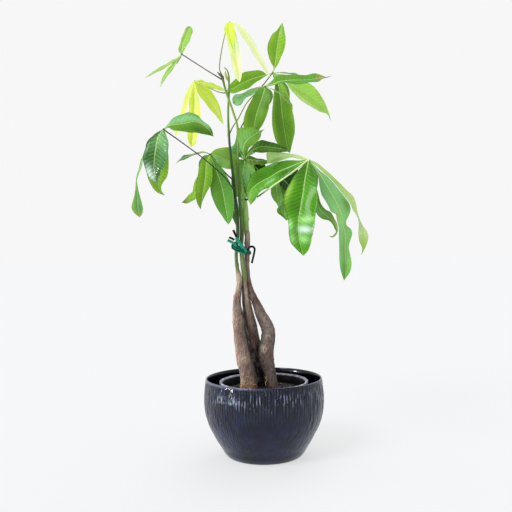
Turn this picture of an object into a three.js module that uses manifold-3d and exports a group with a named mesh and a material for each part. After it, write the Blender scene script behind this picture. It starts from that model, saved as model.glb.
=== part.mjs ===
// Potted money tree: three leaning trunks tied above the middle, ten compound leaves,
// a black nursery pot with soil and a dark hammered planter around it.
// Millimetres, +Z up, -Y to the front. The origin is the centre of the planter's base.

import * as THREE from 'three';
import { mergeVertices } from 'three/addons/utils/BufferGeometryUtils.js';
import Module from 'manifold-3d';

const wasm = await Module();
wasm.setup();

// Clearances and blade
const GAP = 0.3;
const BLADE = 0.7;
const BLADE_SPANS = 8;
const BLADE_ROOT = 0.1;
const BLADE_ROOT_EXTRA = 0.4;
const LEAF_STALK_SIDES = 6;

// Planter: outer wall from base to rim as [radius, height], then the plain inner wall
const PLANTER_OUTSIDE = [
  [56, 0], [62, 2], [67, 8], [72.5, 17], [79.5, 28], [86, 40], [91.5, 51], [95.5, 62],
  [98.3, 75], [99.6, 90], [99.2, 104], [98, 116], [96.6, 126],
];
const PLANTER_RIM = [[95.6, 128], [94, 127.4]];
const PLANTER_FLOOR = 5;
const PLANTER_INSIDE = [
  [95.4, 110], [96.6, 90], [92.5, 62], [83, 40], [69.5, 18], [60, 6], [58, PLANTER_FLOOR],
];
const PLANTER_SEGMENTS = 72;
const RIB_COUNT = 36;
const RIB_HEIGHT = 0.8;
const RIB_WANDER = 1.9;
const RIB_BENDS = 3;
const RIB_ROW_SHIFT = 1.3;

// Nursery pot
const NURSERY_BASE_RADIUS = 50;
const NURSERY_RIM_RADIUS = 73.7;
const NURSERY_NECK_RADIUS = 70.2;
const NURSERY_WALL = 1.6;
const NURSERY_RIM_DEPTH = 7;
const NURSERY_RIM_TOP = 122.6;
const NURSERY_LIP = 1.4;
const NURSERY_ROUND = 1.2;
const NURSERY_BASE = PLANTER_FLOOR + GAP;
const NURSERY_SEGMENTS = 48;

// Soil
const SOIL_TOP = 109;
const SOIL_CROWN = 2.5;
const SOIL_CROWN_RADIUS = 34;
const SOIL_EDGE_WIDTH = 6;
const SOIL_EDGE_DROP = 2;

// Colour and roughness of each material
const FINISH = {
  planter: [0x1f222e, 0.25],
  nursery: [0x17181a, 0.45],
  soil: [0x2b211a, 1],
  barkLight: [0x8a7764, 0.85],
  barkDark: [0x5b483f, 0.85],
  barkGrey: [0x6f655b, 0.85],
  stem: [0x6f8a3c, 0.6],
  tie: [0x147a5e, 0.4],
  lime: [0xb9cf2e, 0.4],
  fresh: [0x86b53a, 0.4],
  green: [0x4f8d2a, 0.4],
  deep: [0x2f6b2c, 0.35],
};

// The eye that the front view of the plant is laid out from
const EYE = new THREE.Vector3(-10, -1082, 330);

// Trunks as [x, z, depth, radius], from the foot in the soil to the top
const TRUNK_LEFT = [
  [-24, 70, -16, 14], [-25, 112, -18, 14.2], [-25.5, 125, -17, 13.4], [-28, 140, -16, 12.5],
  [-31.5, 155, -16, 12.4], [-34, 170, -15, 12], [-37, 190, -13, 11], [-39.5, 205, -12, 10.2],
  [-41, 220, -10, 9.6], [-42.5, 235, -8, 7.6], [-43, 250, -7, 6.2], [-42, 264, -6, 5],
  [-39.5, 277, -4, 4.2], [-38.2, 289, -3, 3.6],
];
const TRUNK_MIDDLE = [
  [-2, 70, 18, 11.5], [-3, 112, 18, 11.2], [-6, 130, 18, 10.6], [-9.5, 150, 18, 10.5],
  [-13, 170, 17, 10.4], [-16, 190, 16, 10.2], [-19, 205, 15, 9.8], [-22, 220, 14, 9.4],
  [-25, 235, 12, 8.4], [-27, 250, 10, 7.2], [-28.2, 264, 6, 5.8], [-29.4, 277, 3, 4.5],
  [-29.6, 287, 2, 3.8],
];
const TRUNK_RIGHT = [
  [15, 70, 0, 9.6], [14, 112, 0, 9.2], [12, 125, -1, 9.4], [9.5, 140, -2, 10],
  [7, 150, -3, 11], [5.5, 162, -3, 11.6], [5.5, 176, -4, 11.4], [8.5, 190, -4, 10.2],
  [9.8, 200, -4, 9.6], [8.8, 210, -3, 9.2], [4.6, 221, -2, 8.6], [-1, 233, -1, 7.4],
  [-7, 245, 0, 6.2], [-12.6, 257, 2, 5.2], [-18.2, 270, 4, 4.3], [-22.2, 283, 7, 3.8],
  [-24.6, 296, 8, 3.8], [-25.8, 312, 9, 3.8], [-25.6, 330, 8, 3.8], [-25, 350, 7, 3.8],
  [-24.8, 371, 7, 3.6],
];
const TRUNK_SIDES = 12;
const TRUNK_RIPPLE = 0.05;
const TRUNK_LOBES = 3;

// Green stems as [x, z, depth, radius]
const STEM_LEFT = [
  [-38.1, 290.2, -3, 3.2], [-39.6, 302, -3, 2.9], [-42, 315, -4, 2.7], [-43, 330, -4, 2.7],
  [-42.4, 345, -4, 2.6], [-40.6, 362, -4, 2.6], [-40.4, 380, -5, 2.6], [-42, 402, -6, 2.5],
  [-43.4, 424, -7, 2.4], [-45.4, 450, -8, 2.3], [-47.6, 475, -8, 2.2], [-50, 500, -7, 2.1],
  [-52, 526, -6, 2], [-53, 550, -4, 1.9], [-53, 574, -3, 1.8], [-51.6, 597, -1, 1.7],
  [-51, 618, 0, 1.6], [-51.4, 632, 0, 1.4], [-54.4, 641, 0, 1.2], [-59, 645, 0, 0.9],
];
const STEM_MIDDLE = [
  [-29.6, 287.7, 2, 3.4], [-30.2, 300, 0, 3.4], [-32.2, 315, -1, 3.3], [-34, 330, -1, 3.2],
  [-34.6, 345, -1, 2.9], [-34, 362, 0, 2.6], [-34, 382, 0, 2.4], [-35.4, 402, 0, 2.3],
  [-36.4, 425, 0, 2.2], [-37.6, 450, 1, 2.1], [-38.2, 475, 2, 2], [-38, 500, 2, 2],
  [-37, 522, 2, 1.9], [-37.2, 540, 0, 1.9], [-39.6, 554, -3, 1.8], [-44, 568, -6, 1.8],
  [-48.4, 582, -8, 1.8], [-53, 595, -8, 1.8], [-57, 608, -7, 1.8], [-60, 620, -6, 1.9],
  [-62, 630, -5, 2.3],
];
const STEM_RIGHT = [
  [-24.8, 371.7, 7, 3.4], [-26, 384, 6, 3.1], [-27.6, 400, 7, 3], [-29, 416, 8, 3],
  [-30, 432, 8, 2.7], [-31, 448, 9, 2.4], [-31.6, 462, 10, 1.9], [-31.4, 474, 11, 1.1],
];
const STEM_SIDES = 8;

// Leaf finish, the stem it grows from, its stalk and its leaflets. A stalk point is
// [x, z, depth]. A leaflet runs from the hub to its tip, its middle moved off the straight
// line by bend; face is the way that its upper side looks; fold is the V of its two halves
// in degrees at the base and at the tip; peak is where it is widest; blunt rounds the tip;
// waist is where it is pinched. Reach leads the stalk's end, and the leaflets with it, that
// much further back.
const LEAVES = [
  {
    name: 'leaf_top_left', finish: FINISH.fresh, stem: 'stem_middle', stalkRadius: 1.1, reach: 30,
    stalk: [[-61, 624, -6], [-82, 637, -6], [-105, 652, -6], [-129, 668, -5]],
    leaflets: [
      { tip: [-113, 714, 0], bend: [1, 1, -3], width: 16, face: [-0.3, -1, 0.3], blunt: 0.6 },
      { tip: [-191, 629, 5], bend: [3, 0, 0], width: 13, face: [-0.1, -0.65, 0.8] },
      { tip: [-166, 613, -22], bend: [2.5, 6, -6], width: 14, face: [-0.5, -0.8, 0.5] },
      { tip: [-152, 642, 40], bend: [2, -1, 0], width: 10, face: [0, -0.3, 1] },
    ],
  },
  {
    name: 'leaf_top', finish: FINISH.lime, stem: 'stem_middle', stalkRadius: 1, reach: -10,
    stalk: [
      [-62, 631, -5], [-66, 640, -6], [-65.5, 656, -6], [-62, 676, -7], [-57, 698, -6],
      [-49, 720, -8],
    ],
    leaflets: [
      { tip: [-44, 676, -20], bend: [-3.5, 6, -4], width: 17, face: [-0.3, -1, 0.1] },
      { tip: [-31, 620, -14], bend: [-1.5, 0, 0], width: 20, face: [0.1, -1, 0] },
      { tip: [17, 628, 0], bend: [4, 5, 0], width: 19, face: [0.3, -0.9, 0.3] },
      { tip: [-40, 652, 25], bend: [-2, 6, 4], width: 14, face: [0, 0.8, 0.5] },
    ],
  },
  {
    name: 'leaf_upper_left', finish: FINISH.lime, stem: 'stem_left', stalkRadius: 1.1, reach: 35,
    stalk: [[-51.8, 603, -1], [-64, 603, 8], [-86, 612, 19], [-108, 623, 22]],
    leaflets: [
      { tip: [-141, 531, 25], bend: [-1, 2, 4], width: 13, face: [-0.3, -1, 0.2] },
      { tip: [-115, 513, 10], bend: [2, 0, 0], width: 19, face: [0, -1, 0.1] },
      { tip: [-62, 550, 25], bend: [3, 2, 0], width: 21, face: [0.4, -0.8, 0.4] },
      { tip: [-57, 606, 40], bend: [0, -3, 4], width: 17, face: [0, -0.7, 0.9] },
      { tip: [-113, 556, 68], bend: [0, 6, 4], width: 15, face: [0, 0.3, 1] },
    ],
  },
  {
    name: 'leaf_left', finish: FINISH.deep, stem: 'stem_left', stalkRadius: 1.2, reach: -35,
    stalk: [
      [-45, 437, -8], [-46.4, 441, -24], [-52, 451, -31], [-60, 461.5, -36], [-75, 476, -40],
      [-93, 492, -42], [-125, 516.5, -42], [-161, 543, -42],
    ],
    leaflets: [
      { tip: [-78, 530, -49], bend: [-3, 13, 0], width: 40, face: [0, -0.9, 0.5], peak: 0.48 },
      { tip: [-172, 452, -56], bend: [-7, 2, -6], width: 46, face: [-0.2, -1, 0.25], peak: 0.47 },
      {
        tip: [-161, 434, -18], bend: [-11, 0, 0], width: 38, face: [0.1, -1, 0.1],
        peak: 0.55, blunt: 1.3,
      },
      { tip: [-203, 397, -22], bend: [-16, 25, 0], width: 20, face: [-0.1, -1, 0.1], peak: 0.86 },
      { tip: [-176, 468, 35], bend: [-6, 8, 8], width: 32, face: [-0.2, 0.5, 0.8] },
    ],
  },
  {
    name: 'leaf_middle_left', finish: FINISH.green, stem: 'stem_left', stalkRadius: 1.2,
    stalk: [[-46.2, 457, -8], [-58, 468, -10], [-70, 483, -13], [-84, 500, -15]],
    leaflets: [
      { tip: [-141, 486, -5], bend: [0, 8, 0], width: 11, face: [0, -0.6, 0.8], peak: 0.78 },
      { tip: [-130, 421, -8], bend: [8, -6, 2], width: 18, face: [-0.6, -0.8, 0.2] },
      { tip: [-101, 409, -22], bend: [-4, 0, -4], width: 26, face: [-0.1, -1, 0.1] },
      {
        tip: [-55, 383, -28], bend: [1.5, 0, 2], width: 38, face: [-0.1, -1, 0.2],
        fold: [6, 10],
      },
      { tip: [-34, 484, 30], bend: [-1, -2, 0], width: 46, face: [0, -1, 0.3] },
      { tip: [-39, 374, 6], bend: [5, 4, 8], width: 20, face: [0.3, -1, 0], peak: 0.6 },
      { tip: [-96, 455, 40], bend: [0, 8, 6], width: 26, face: [0, 0.5, 0.8] },
    ],
  },
  {
    name: 'leaf_centre', finish: FINISH.deep, stem: 'stem_right', stalkRadius: 1.2,
    stalk: [[-30, 433, 8], [-22, 443, 5], [-17, 463, 2], [-20, 480, 1], [-26, 491, 1]],
    leaflets: [
      { tip: [8, 540, -48], bend: [-14, 2, -4], width: 48, face: [-0.2, -0.9, 0.6], peak: 0.48 },
      { tip: [46, 503, -6], bend: [0, 10, 0], width: 23, face: [0, -0.75, 0.65] },
      { tip: [21, 488, -8], bend: [0, 2, 0], width: 17, face: [0, -0.6, 0.8], peak: 0.4 },
      { tip: [-31, 425, -12], bend: [-4, 0, -6], width: 24, face: [-0.1, -1, 0.2] },
      { tip: [12, 448, 10], bend: [2, 4, 4], width: 30, face: [0.2, -0.9, 0.4] },
      { tip: [-30, 545, 14], bend: [-3, 0, 6], width: 30, face: [-0.3, -0.9, 0.3], peak: 0.4 },
      { tip: [18, 512, 60], bend: [0, 4, 4], width: 28, face: [0, 0.2, 1] },
    ],
  },
  {
    name: 'leaf_right', finish: FINISH.green, stem: 'stem_right', stalkRadius: 1.4, reach: -40,
    stalk: [
      [-29.4, 424, 8], [-12, 426, -8], [2, 434, -20], [22, 448, -31], [50, 467, -40],
      [80, 489, -45],
    ],
    leaflets: [
      {
        tip: [18, 497, -30], bend: [0, 2, 0], width: 17, face: [0, 0.6, 0.8],
        peak: 0.62, blunt: 0.55,
      },
      { tip: [-18, 418, -14], bend: [0, 12, 8], width: 42, face: [-0.1, -0.9, 0.45] },
      {
        tip: [69, 329, -78], bend: [-8, 0, -10], width: 55, face: [-0.15, -1, 0.15],
        peak: 0.42, blunt: 0.8,
      },
      {
        tip: [138, 287, -52], bend: [19, 11, 0], width: 38, face: [0.1, -1, 0.2],
        peak: 0.42, fold: [8, 52],
      },
      {
        tip: [168, 327, -18], bend: [28, 8, 6], width: 20, face: [0.3, -0.9, 0.3],
        peak: 0.78, waist: 0.6,
      },
      { tip: [122, 361, -12], bend: [-13, -13, 4], width: 26, face: [0.2, -1, 0.2], peak: 0.6 },
      { tip: [74, 405, 28], bend: [2, 10, 8], width: 32, face: [0.2, 0.6, 0.8] },
    ],
  },
  {
    name: 'leaf_inner_right', finish: FINISH.green, stem: 'stem_right', stalkRadius: 1.1, reach: 20,
    stalk: [[-31, 450, 9], [-10, 453, 18], [10, 457, 26], [27, 460, 30]],
    leaflets: [
      { tip: [27, 411, 10], bend: [0, 0, -2], width: 24, face: [-0.1, -1, 0.2] },
      { tip: [43, 386, 14], bend: [-2, 0, 0], width: 28, face: [0.1, -1, 0.2] },
      { tip: [56, 428, 24], bend: [0, 4, 0], width: 24, face: [0.4, -0.9, 0.2] },
      { tip: [16, 452, 82], bend: [0, 4, 4], width: 24, face: [0, 0, 1] },
      { tip: [36, 476, 80], bend: [0, 3, 6], width: 24, face: [0, 0, 1] },
    ],
  },
  {
    name: 'leaf_upper_right', finish: FINISH.green, stem: 'stem_left', stalkRadius: 1.1, reach: 35,
    stalk: [
      [-52.4, 532, -5], [-46, 545, 3], [-36, 560, 13], [-22, 585, 23], [0, 608, 31],
      [22, 635, 35],
    ],
    leaflets: [
      { tip: [38, 718, 28], bend: [-2, 0, -4], width: 30, face: [0, -1, 0.1] },
      { tip: [-55, 606, 25], bend: [0, 4, 0], width: 32, face: [0, -0.9, 0.4], peak: 0.6 },
      { tip: [47, 497, 22], bend: [3, 0, -4], width: 40, face: [0.1, -1, 0.1], peak: 0.6 },
      { tip: [118, 553, 28], bend: [4, 8, 0], width: 36, face: [-0.1, -0.9, 0.4], peak: 0.6 },
      { tip: [78, 626, 62], bend: [0, 2, 2], width: 16, face: [0, -0.3, 1] },
      { tip: [44, 578, 98], bend: [4, 0, 6], width: 24, face: [0, 0.4, 0.9] },
    ],
  },
  {
    name: 'leaf_upper_inner', finish: FINISH.green, stem: 'stem_middle', stalkRadius: 1.1, reach: -25,
    stalk: [[-37.2, 534, 1], [-28, 552, 12], [-14, 578, 18], [0, 600, 14], [9, 612, 10]],
    leaflets: [
      { tip: [123, 627, 0], bend: [0, 1.5, 0], width: 20, face: [0, -0.8, 0.6], peak: 0.55 },
      {
        tip: [-43, 584, -4], bend: [-3, 1, -4], width: 24, face: [0, 0.5, 0.85],
        fold: [30, 50], peak: 0.75,
      },
      { tip: [54, 579, -6], bend: [3, 3, 0], width: 12, face: [0.5, 0.1, 0.9] },
      { tip: [-13, 525, 10], bend: [-2, 0, -4], width: 42, face: [0, -1, 0.2], peak: 0.45 },
      { tip: [3, 572, 70], bend: [4, 2, 0], width: 26, face: [0, 0.4, 0.9] },
    ],
  },
];
const LEAF_FOLD = [16, 16];
const LEAF_PEAK = 0.55;
const LEAF_TIP_POWER = 1.05;
const LEAF_WAVE = 1.6;
const LEAF_WAVES = 2.5;
const WAIST_DEPTH = 0.75;
const WAIST_SPAN = 0.07;
const STALK_END_WIDTH = 1.8;
const HUB_RADIUS = 2.2;
const HUB_TURN = 0.6;

// Young shoot and bract at the stem tops, as [x, z, depth, radius]
const SHOOT_BUD = [
  [-51.4, 622, -1, 1.2], [-54.6, 628, -2, 2.1], [-56.4, 634, -2, 1.6], [-57, 639, -2, 0.7],
];
const TOP_BRACT = [[-61, 628, -6, 1.4], [-66, 633, -7, 1.9], [-70.5, 637.5, -8, 0.7]];

// Twist tie: the ring round the stems, then its loose strips and wires
const TIE_CENTRE = [-34.2, 342, 2.5];
const TIE_HALF_WIDTH = 15;
const TIE_HALF_DEPTH = 13;
const TIE_HEIGHT = 6;
const TIE_THICKNESS = 1;
const TIE_SLOPE = 0.42;
const TIE_SEGMENTS = 28;
// Each strip is its width, its thickness and its points [x, z, depth]
const TIE_STRIPS = [
  {
    width: 4.6, thickness: 1,
    points: [
      [-47, 374, -14.5], [-42, 363, -13.5], [-37, 354, -12.6], [-31, 343, -11],
      [-26.5, 336, -8.6],
    ],
  },
  {
    width: 4.2, thickness: 1,
    points: [
      [-58, 358, -17.5], [-49, 353, -16.5], [-42, 347, -14.6], [-35, 341, -12],
      [-29, 337, -9.6],
    ],
  },
  {
    width: 2.4, thickness: 1.4,
    points: [[-54.5, 362, -16], [-47, 359, -16], [-42.4, 352, -15], [-38, 345, -12]],
  },
  {
    width: 2.2, thickness: 1.4,
    points: [
      [-41, 350, -13.6], [-48.5, 349.5, -13], [-49, 344, -12], [-43, 340.6, -12.4],
      [-34, 338.4, -11.4],
    ],
  },
  {
    width: 2, thickness: 1.6,
    points: [
      [-22, 337, -5], [-18.6, 344, -5], [-13.6, 345.6, -4.6], [-11.4, 341, -4.6],
      [-13.4, 330, -5], [-17, 317, -5.4],
    ],
  },
];

// A point of the front view, carried along the line of sight to its own depth
function placed([x, z, depth]) {
  const away = (depth - EYE.y) / -EYE.y;
  return new THREE.Vector3(EYE.x + (x - EYE.x) * away, depth, EYE.z + (z - EYE.z) * away);
}

// A closed solid from rings of equally many points, running from first to last
function loft(rings) {
  const sides = rings[0].length;
  const positions = rings.flat().flatMap((point) => point.toArray());
  const triangles = [];
  for (let i = 0; i + 1 < rings.length; i += 1) {
    for (let j = 0; j < sides; j += 1) {
      const a = i * sides + j;
      const b = i * sides + ((j + 1) % sides);
      triangles.push(a, b, a + sides, b, b + sides, a + sides);
    }
  }
  const last = (rings.length - 1) * sides;
  for (let j = 1; j + 1 < sides; j += 1) {
    triangles.push(0, j + 1, j, last, last + j, last + j + 1);
  }
  return indexed(positions, triangles);
}

function indexed(positions, triangles) {
  const geometry = new THREE.BufferGeometry();
  geometry.setAttribute('position', new THREE.Float32BufferAttribute(positions, 3));
  geometry.setIndex(triangles);
  return geometry;
}

// Turns a closed geometry into a solid, facing out
function solidOf(geometry) {
  const bare = geometry.clone();
  for (const name of Object.keys(bare.attributes)) {
    if (name !== 'position') bare.deleteAttribute(name);
  }
  const merged = mergeVertices(bare, 1e-4);
  const vertProperties = new Float32Array(merged.attributes.position.array);
  const triVerts = new Uint32Array(merged.index.array);
  return new wasm.Manifold(new wasm.Mesh({ numProp: 3, vertProperties, triVerts }));
}

function geometryOf(solid) {
  const mesh = solid.getMesh();
  return indexed(Array.from(mesh.vertProperties), Array.from(mesh.triVerts));
}

// A tapered round tube through [x, z, depth, radius] stations, with a gentle ripple
function limb(stations, sides, extra = 0, ripple = 0) {
  const centres = stations.map(([x, z, depth]) => placed([x, z, depth]));
  const across = new THREE.Vector3(1, 0, 0);
  const rings = stations.map((station, i) => {
    const along = centres[Math.min(i + 1, centres.length - 1)].clone()
      .sub(centres[Math.max(i - 1, 0)]).normalize();
    across.sub(along.clone().multiplyScalar(across.dot(along))).normalize();
    const up = along.clone().cross(across);
    return Array.from({ length: sides }, (_, j) => {
      const angle = (2 * Math.PI * j) / sides;
      const radius = station[3] * (1 + ripple * Math.sin(TRUNK_LOBES * angle + i)) + extra;
      return centres[i].clone()
        .addScaledVector(across, radius * Math.cos(angle))
        .addScaledVector(up, radius * Math.sin(angle));
    });
  });
  return loft(rings);
}

// A flat strip through [x, z, depth] points, its face turned to the front
function strip({ width, thickness, points }) {
  const centres = points.map(placed);
  const rings = centres.map((centre, i) => {
    const along = centres[Math.min(i + 1, centres.length - 1)].clone()
      .sub(centres[Math.max(i - 1, 0)]).normalize();
    const across = new THREE.Vector3(0, 1, 0).cross(along).normalize();
    const normal = along.clone().cross(across);
    return [[-1, -1], [1, -1], [1, 1], [-1, 1]].map(([u, v]) => centre.clone()
      .addScaledVector(across, (u * width) / 2)
      .addScaledVector(normal, (v * thickness) / 2));
  });
  return loft(rings);
}

function halfWidth(leaflet, s) {
  const peak = leaflet.peak ?? LEAF_PEAK;
  const tipPower = leaflet.blunt ?? LEAF_TIP_POWER;
  const basePower = (tipPower * peak) / (1 - peak);
  const most = peak ** basePower * (1 - peak) ** tipPower;
  const shape = (s ** basePower * (1 - s) ** tipPower) / most;
  const nearness = leaflet.waist ? Math.exp(-(((s - leaflet.waist) / WAIST_SPAN) ** 2)) : 0;
  return Math.max((leaflet.width / 2) * shape * (1 - WAIST_DEPTH * nearness), STALK_END_WIDTH / 2);
}

// One blade: three points across each face, folded along the midrib and waved at the edges
function blade(hub, leaflet) {
  const start = placed(hub);
  const end = placed(leaflet.tip);
  const middle = placed([0, 1, 2].map((k) => (hub[k] + leaflet.tip[k]) / 2 + 2 * leaflet.bend[k]));
  const curve = new THREE.QuadraticBezierCurve3(start, middle, end);
  const face = new THREE.Vector3(...leaflet.face).normalize();
  const [foldBase, foldTip] = leaflet.fold ?? LEAF_FOLD;
  const positions = [];
  for (let i = 0; i <= BLADE_SPANS; i += 1) {
    const s = i / BLADE_SPANS;
    const along = curve.getTangent(s).normalize();
    const side = along.clone().cross(face).normalize();
    side.applyAxisAngle(along, THREE.MathUtils.degToRad((leaflet.twist ?? 0) * (s - 0.5)));
    const normal = side.clone().cross(along);
    const fold = THREE.MathUtils.degToRad(foldBase + (foldTip - foldBase) * s);
    const half = halfWidth(leaflet, s);
    const thick = BLADE / 2 / Math.cos(fold) + (s < BLADE_ROOT ? BLADE_ROOT_EXTRA : 0);
    const centre = curve.getPoint(s);
    const line = [-1, 0, 1].map((u) => {
      const swing = u * Math.sin(2 * Math.PI * LEAF_WAVES * s + u);
      const wave = (swing * LEAF_WAVE * half) / leaflet.width;
      return centre.clone()
        .addScaledVector(side, u * half * Math.cos(fold))
        .addScaledVector(normal, Math.abs(u) * half * Math.sin(fold) + wave);
    });
    for (const lift of [thick, -thick]) {
      for (const point of line) {
        positions.push(...point.clone().addScaledVector(normal, lift).toArray());
      }
    }
  }
  const triangles = [];
  const put = (flip, a, b, c) => triangles.push(...(flip ? [a, c, b] : [a, b, c]));
  for (let i = 0; i < BLADE_SPANS; i += 1) {
    const row = 6 * i;
    const next = row + 6;
    for (const flip of [false, true]) {
      const shift = flip ? 3 : 0;
      for (let j = 0; j < 2; j += 1) {
        const a = row + shift + j;
        const b = next + shift + j;
        put(flip, a, a + 1, b + 1);
        put(flip, a, b + 1, b);
      }
    }
    triangles.push(row, next, row + 3, next, next + 3, row + 3);
    triangles.push(row + 2, row + 5, next + 2, next + 2, row + 5, next + 5);
  }
  const last = 6 * BLADE_SPANS;
  for (const j of [0, 1]) {
    triangles.push(j, j + 3, j + 1, j + 1, j + 3, j + 4);
    triangles.push(last + j, last + j + 1, last + j + 3, last + j + 1, last + j + 4, last + j + 3);
  }
  return indexed(positions, triangles);
}

function joined(geometries) {
  return geometries.map(solidOf).reduce((whole, next) => whole.add(next));
}

// Turned wall with its own segments; ribs wave the outside rows
function turned(profile, segments, ribbedRows = 0) {
  const positions = [0, 0, profile[0][1]];
  profile.forEach(([radius, height], row) => {
    for (let j = 0; j < segments; j += 1) {
      const angle = (2 * Math.PI * j) / segments;
      const band = row > 1 && row < ribbedRows - 1 ? RIB_HEIGHT : 0;
      const wander = RIB_WANDER * Math.sin(RIB_ROW_SHIFT * row + RIB_BENDS * angle);
      const reach = radius + band * Math.cos(RIB_COUNT * angle + wander);
      positions.push(reach * Math.cos(angle), reach * Math.sin(angle), height);
    }
  });
  const closing = positions.length / 3;
  positions.push(0, 0, profile[profile.length - 1][1]);
  const triangles = [];
  for (let j = 0; j < segments; j += 1) {
    const k = (j + 1) % segments;
    triangles.push(0, 1 + k, 1 + j);
    const last = 1 + (profile.length - 1) * segments;
    triangles.push(closing, last + j, last + k);
    for (let row = 0; row + 1 < profile.length; row += 1) {
      const a = 1 + row * segments;
      triangles.push(a + j, a + k, a + segments + j, a + k, a + segments + k, a + segments + j);
    }
  }
  return indexed(positions, triangles);
}

function planterGeometry() {
  const profile = [...PLANTER_OUTSIDE, ...PLANTER_RIM, ...PLANTER_INSIDE];
  return turned(profile, PLANTER_SEGMENTS, PLANTER_OUTSIDE.length);
}

function nurseryGeometry() {
  const top = NURSERY_RIM_TOP;
  const profile = [
    [NURSERY_BASE_RADIUS, NURSERY_BASE],
    [NURSERY_NECK_RADIUS, top - NURSERY_RIM_DEPTH],
    [NURSERY_RIM_RADIUS - NURSERY_ROUND, top - NURSERY_RIM_DEPTH],
    [NURSERY_RIM_RADIUS, top - NURSERY_RIM_DEPTH + NURSERY_ROUND],
    [NURSERY_RIM_RADIUS, top - NURSERY_ROUND],
    [NURSERY_RIM_RADIUS - NURSERY_ROUND, top],
    [NURSERY_NECK_RADIUS, top],
    [NURSERY_NECK_RADIUS - NURSERY_WALL, top - NURSERY_LIP],
    [NURSERY_BASE_RADIUS - NURSERY_WALL, NURSERY_BASE + NURSERY_WALL],
  ];
  return turned(profile, NURSERY_SEGMENTS);
}

function soilSolid(trunkStations) {
  const floor = NURSERY_BASE + NURSERY_WALL + GAP;
  const wallFoot = NURSERY_BASE + NURSERY_WALL;
  const wallHeight = NURSERY_RIM_TOP - NURSERY_LIP - wallFoot;
  const slope = (NURSERY_NECK_RADIUS - NURSERY_BASE_RADIUS) / wallHeight;
  const inset = NURSERY_BASE_RADIUS - NURSERY_WALL - 1.2 * GAP;
  const reach = (height) => inset + (height - wallFoot) * slope;
  const profile = [
    [reach(floor), floor],
    [reach(SOIL_TOP - SOIL_EDGE_DROP), SOIL_TOP - SOIL_EDGE_DROP],
    [reach(SOIL_TOP) - SOIL_EDGE_WIDTH, SOIL_TOP],
    [SOIL_CROWN_RADIUS, SOIL_TOP + SOIL_CROWN],
  ];
  let soil = solidOf(turned(profile, NURSERY_SEGMENTS));
  for (const stations of trunkStations) {
    soil = soil.subtract(solidOf(limb(stations, TRUNK_SIDES, GAP, TRUNK_RIPPLE)));
  }
  return soil;
}

function tieSolid(neighbours) {
  const [x, z, depth] = TIE_CENTRE;
  const centre = placed([x, z, depth]);
  const rings = Array.from({ length: TIE_SEGMENTS }, (_, i) => {
    const angle = (2 * Math.PI * i) / TIE_SEGMENTS;
    return [[0, -1], [1, -1], [1, 1], [0, 1]].map(([out, up]) => {
      const across = (TIE_HALF_WIDTH + out * TIE_THICKNESS) * Math.cos(angle);
      const deep = (TIE_HALF_DEPTH + out * TIE_THICKNESS) * Math.sin(angle);
      const height = centre.z - TIE_SLOPE * across + (up * TIE_HEIGHT) / 2;
      return new THREE.Vector3(centre.x + across, centre.y + deep, height);
    });
  });
  let tie = joined([ringLoft(rings), ...TIE_STRIPS.map(strip)]);
  for (const solid of neighbours) tie = tie.subtract(solid);
  return tie;
}

// A closed band: rings joined end to end
function ringLoft(rings) {
  const sides = rings[0].length;
  const positions = rings.flat().flatMap((point) => point.toArray());
  const triangles = [];
  rings.forEach((_, i) => {
    const next = (i + 1) % rings.length;
    for (let j = 0; j < sides; j += 1) {
      const k = (j + 1) % sides;
      const [a, b] = [i * sides + j, i * sides + k];
      const [c, d] = [next * sides + j, next * sides + k];
      triangles.push(a, c, b, b, c, d);
    }
  });
  return indexed(positions, triangles);
}

function leafSolid(leaf, stemSolid) {
  const { reach = 0 } = leaf;
  const last = leaf.stalk.length - 1;
  const led = ([x, z, depth], share) => [x, z, depth + reach * share];
  const stalk = leaf.stalk.map((point, i) => [...led(point, i / last), leaf.stalkRadius]);
  const hub = led(leaf.stalk[last], 1);
  const knuckle = new THREE.IcosahedronGeometry(HUB_RADIUS, 1).rotateX(HUB_TURN).rotateZ(HUB_TURN);
  knuckle.translate(...placed(hub).toArray());
  const blades = leaf.leaflets.map((leaflet) => blade(hub, { ...leaflet, tip: led(leaflet.tip, 1) }));
  const whole = joined([limb(stalk, LEAF_STALK_SIDES), knuckle, ...blades]);
  return whole.subtract(stemSolid);
}

function material([color, roughness]) {
  return new THREE.MeshStandardMaterial({ color, roughness, metalness: 0 });
}

const plant = new THREE.Group();

function add(name, geometry, finish) {
  const mesh = new THREE.Mesh(geometry, material(finish));
  mesh.name = name;
  plant.add(mesh);
}

add('planter', planterGeometry(), FINISH.planter);
add('nursery_pot', nurseryGeometry(), FINISH.nursery);

const trunks = [
  ['trunk_left', TRUNK_LEFT, FINISH.barkLight],
  ['trunk_middle', TRUNK_MIDDLE, FINISH.barkDark],
  ['trunk_right', TRUNK_RIGHT, FINISH.barkGrey],
];
add('soil', geometryOf(soilSolid(trunks.map(([, stations]) => stations))), FINISH.soil);
for (const [name, stations, finish] of trunks) {
  add(name, limb(stations, TRUNK_SIDES, 0, TRUNK_RIPPLE), finish);
}

// Each stem with the small shoot at its top, and the room that it takes with its clearance
const stemLines = {
  stem_left: [STEM_LEFT, SHOOT_BUD],
  stem_middle: [STEM_MIDDLE, TOP_BRACT],
  stem_right: [STEM_RIGHT],
};
const stemRoom = {};
for (const [name, lines] of Object.entries(stemLines)) {
  stemRoom[name] = joined(lines.map((line) => limb(line, STEM_SIDES, GAP)));
  add(name, geometryOf(joined(lines.map((line) => limb(line, STEM_SIDES)))), FINISH.stem);
}

const trunkRightRoom = solidOf(limb(TRUNK_RIGHT, TRUNK_SIDES, GAP, TRUNK_RIPPLE));
const tie = tieSolid([...Object.values(stemRoom), trunkRightRoom]);
add('twist_tie', geometryOf(tie), FINISH.tie);

for (const leaf of LEAVES) {
  add(leaf.name, geometryOf(leafSolid(leaf, stemRoom[leaf.stem])), leaf.finish);
}

export default plant;
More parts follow.
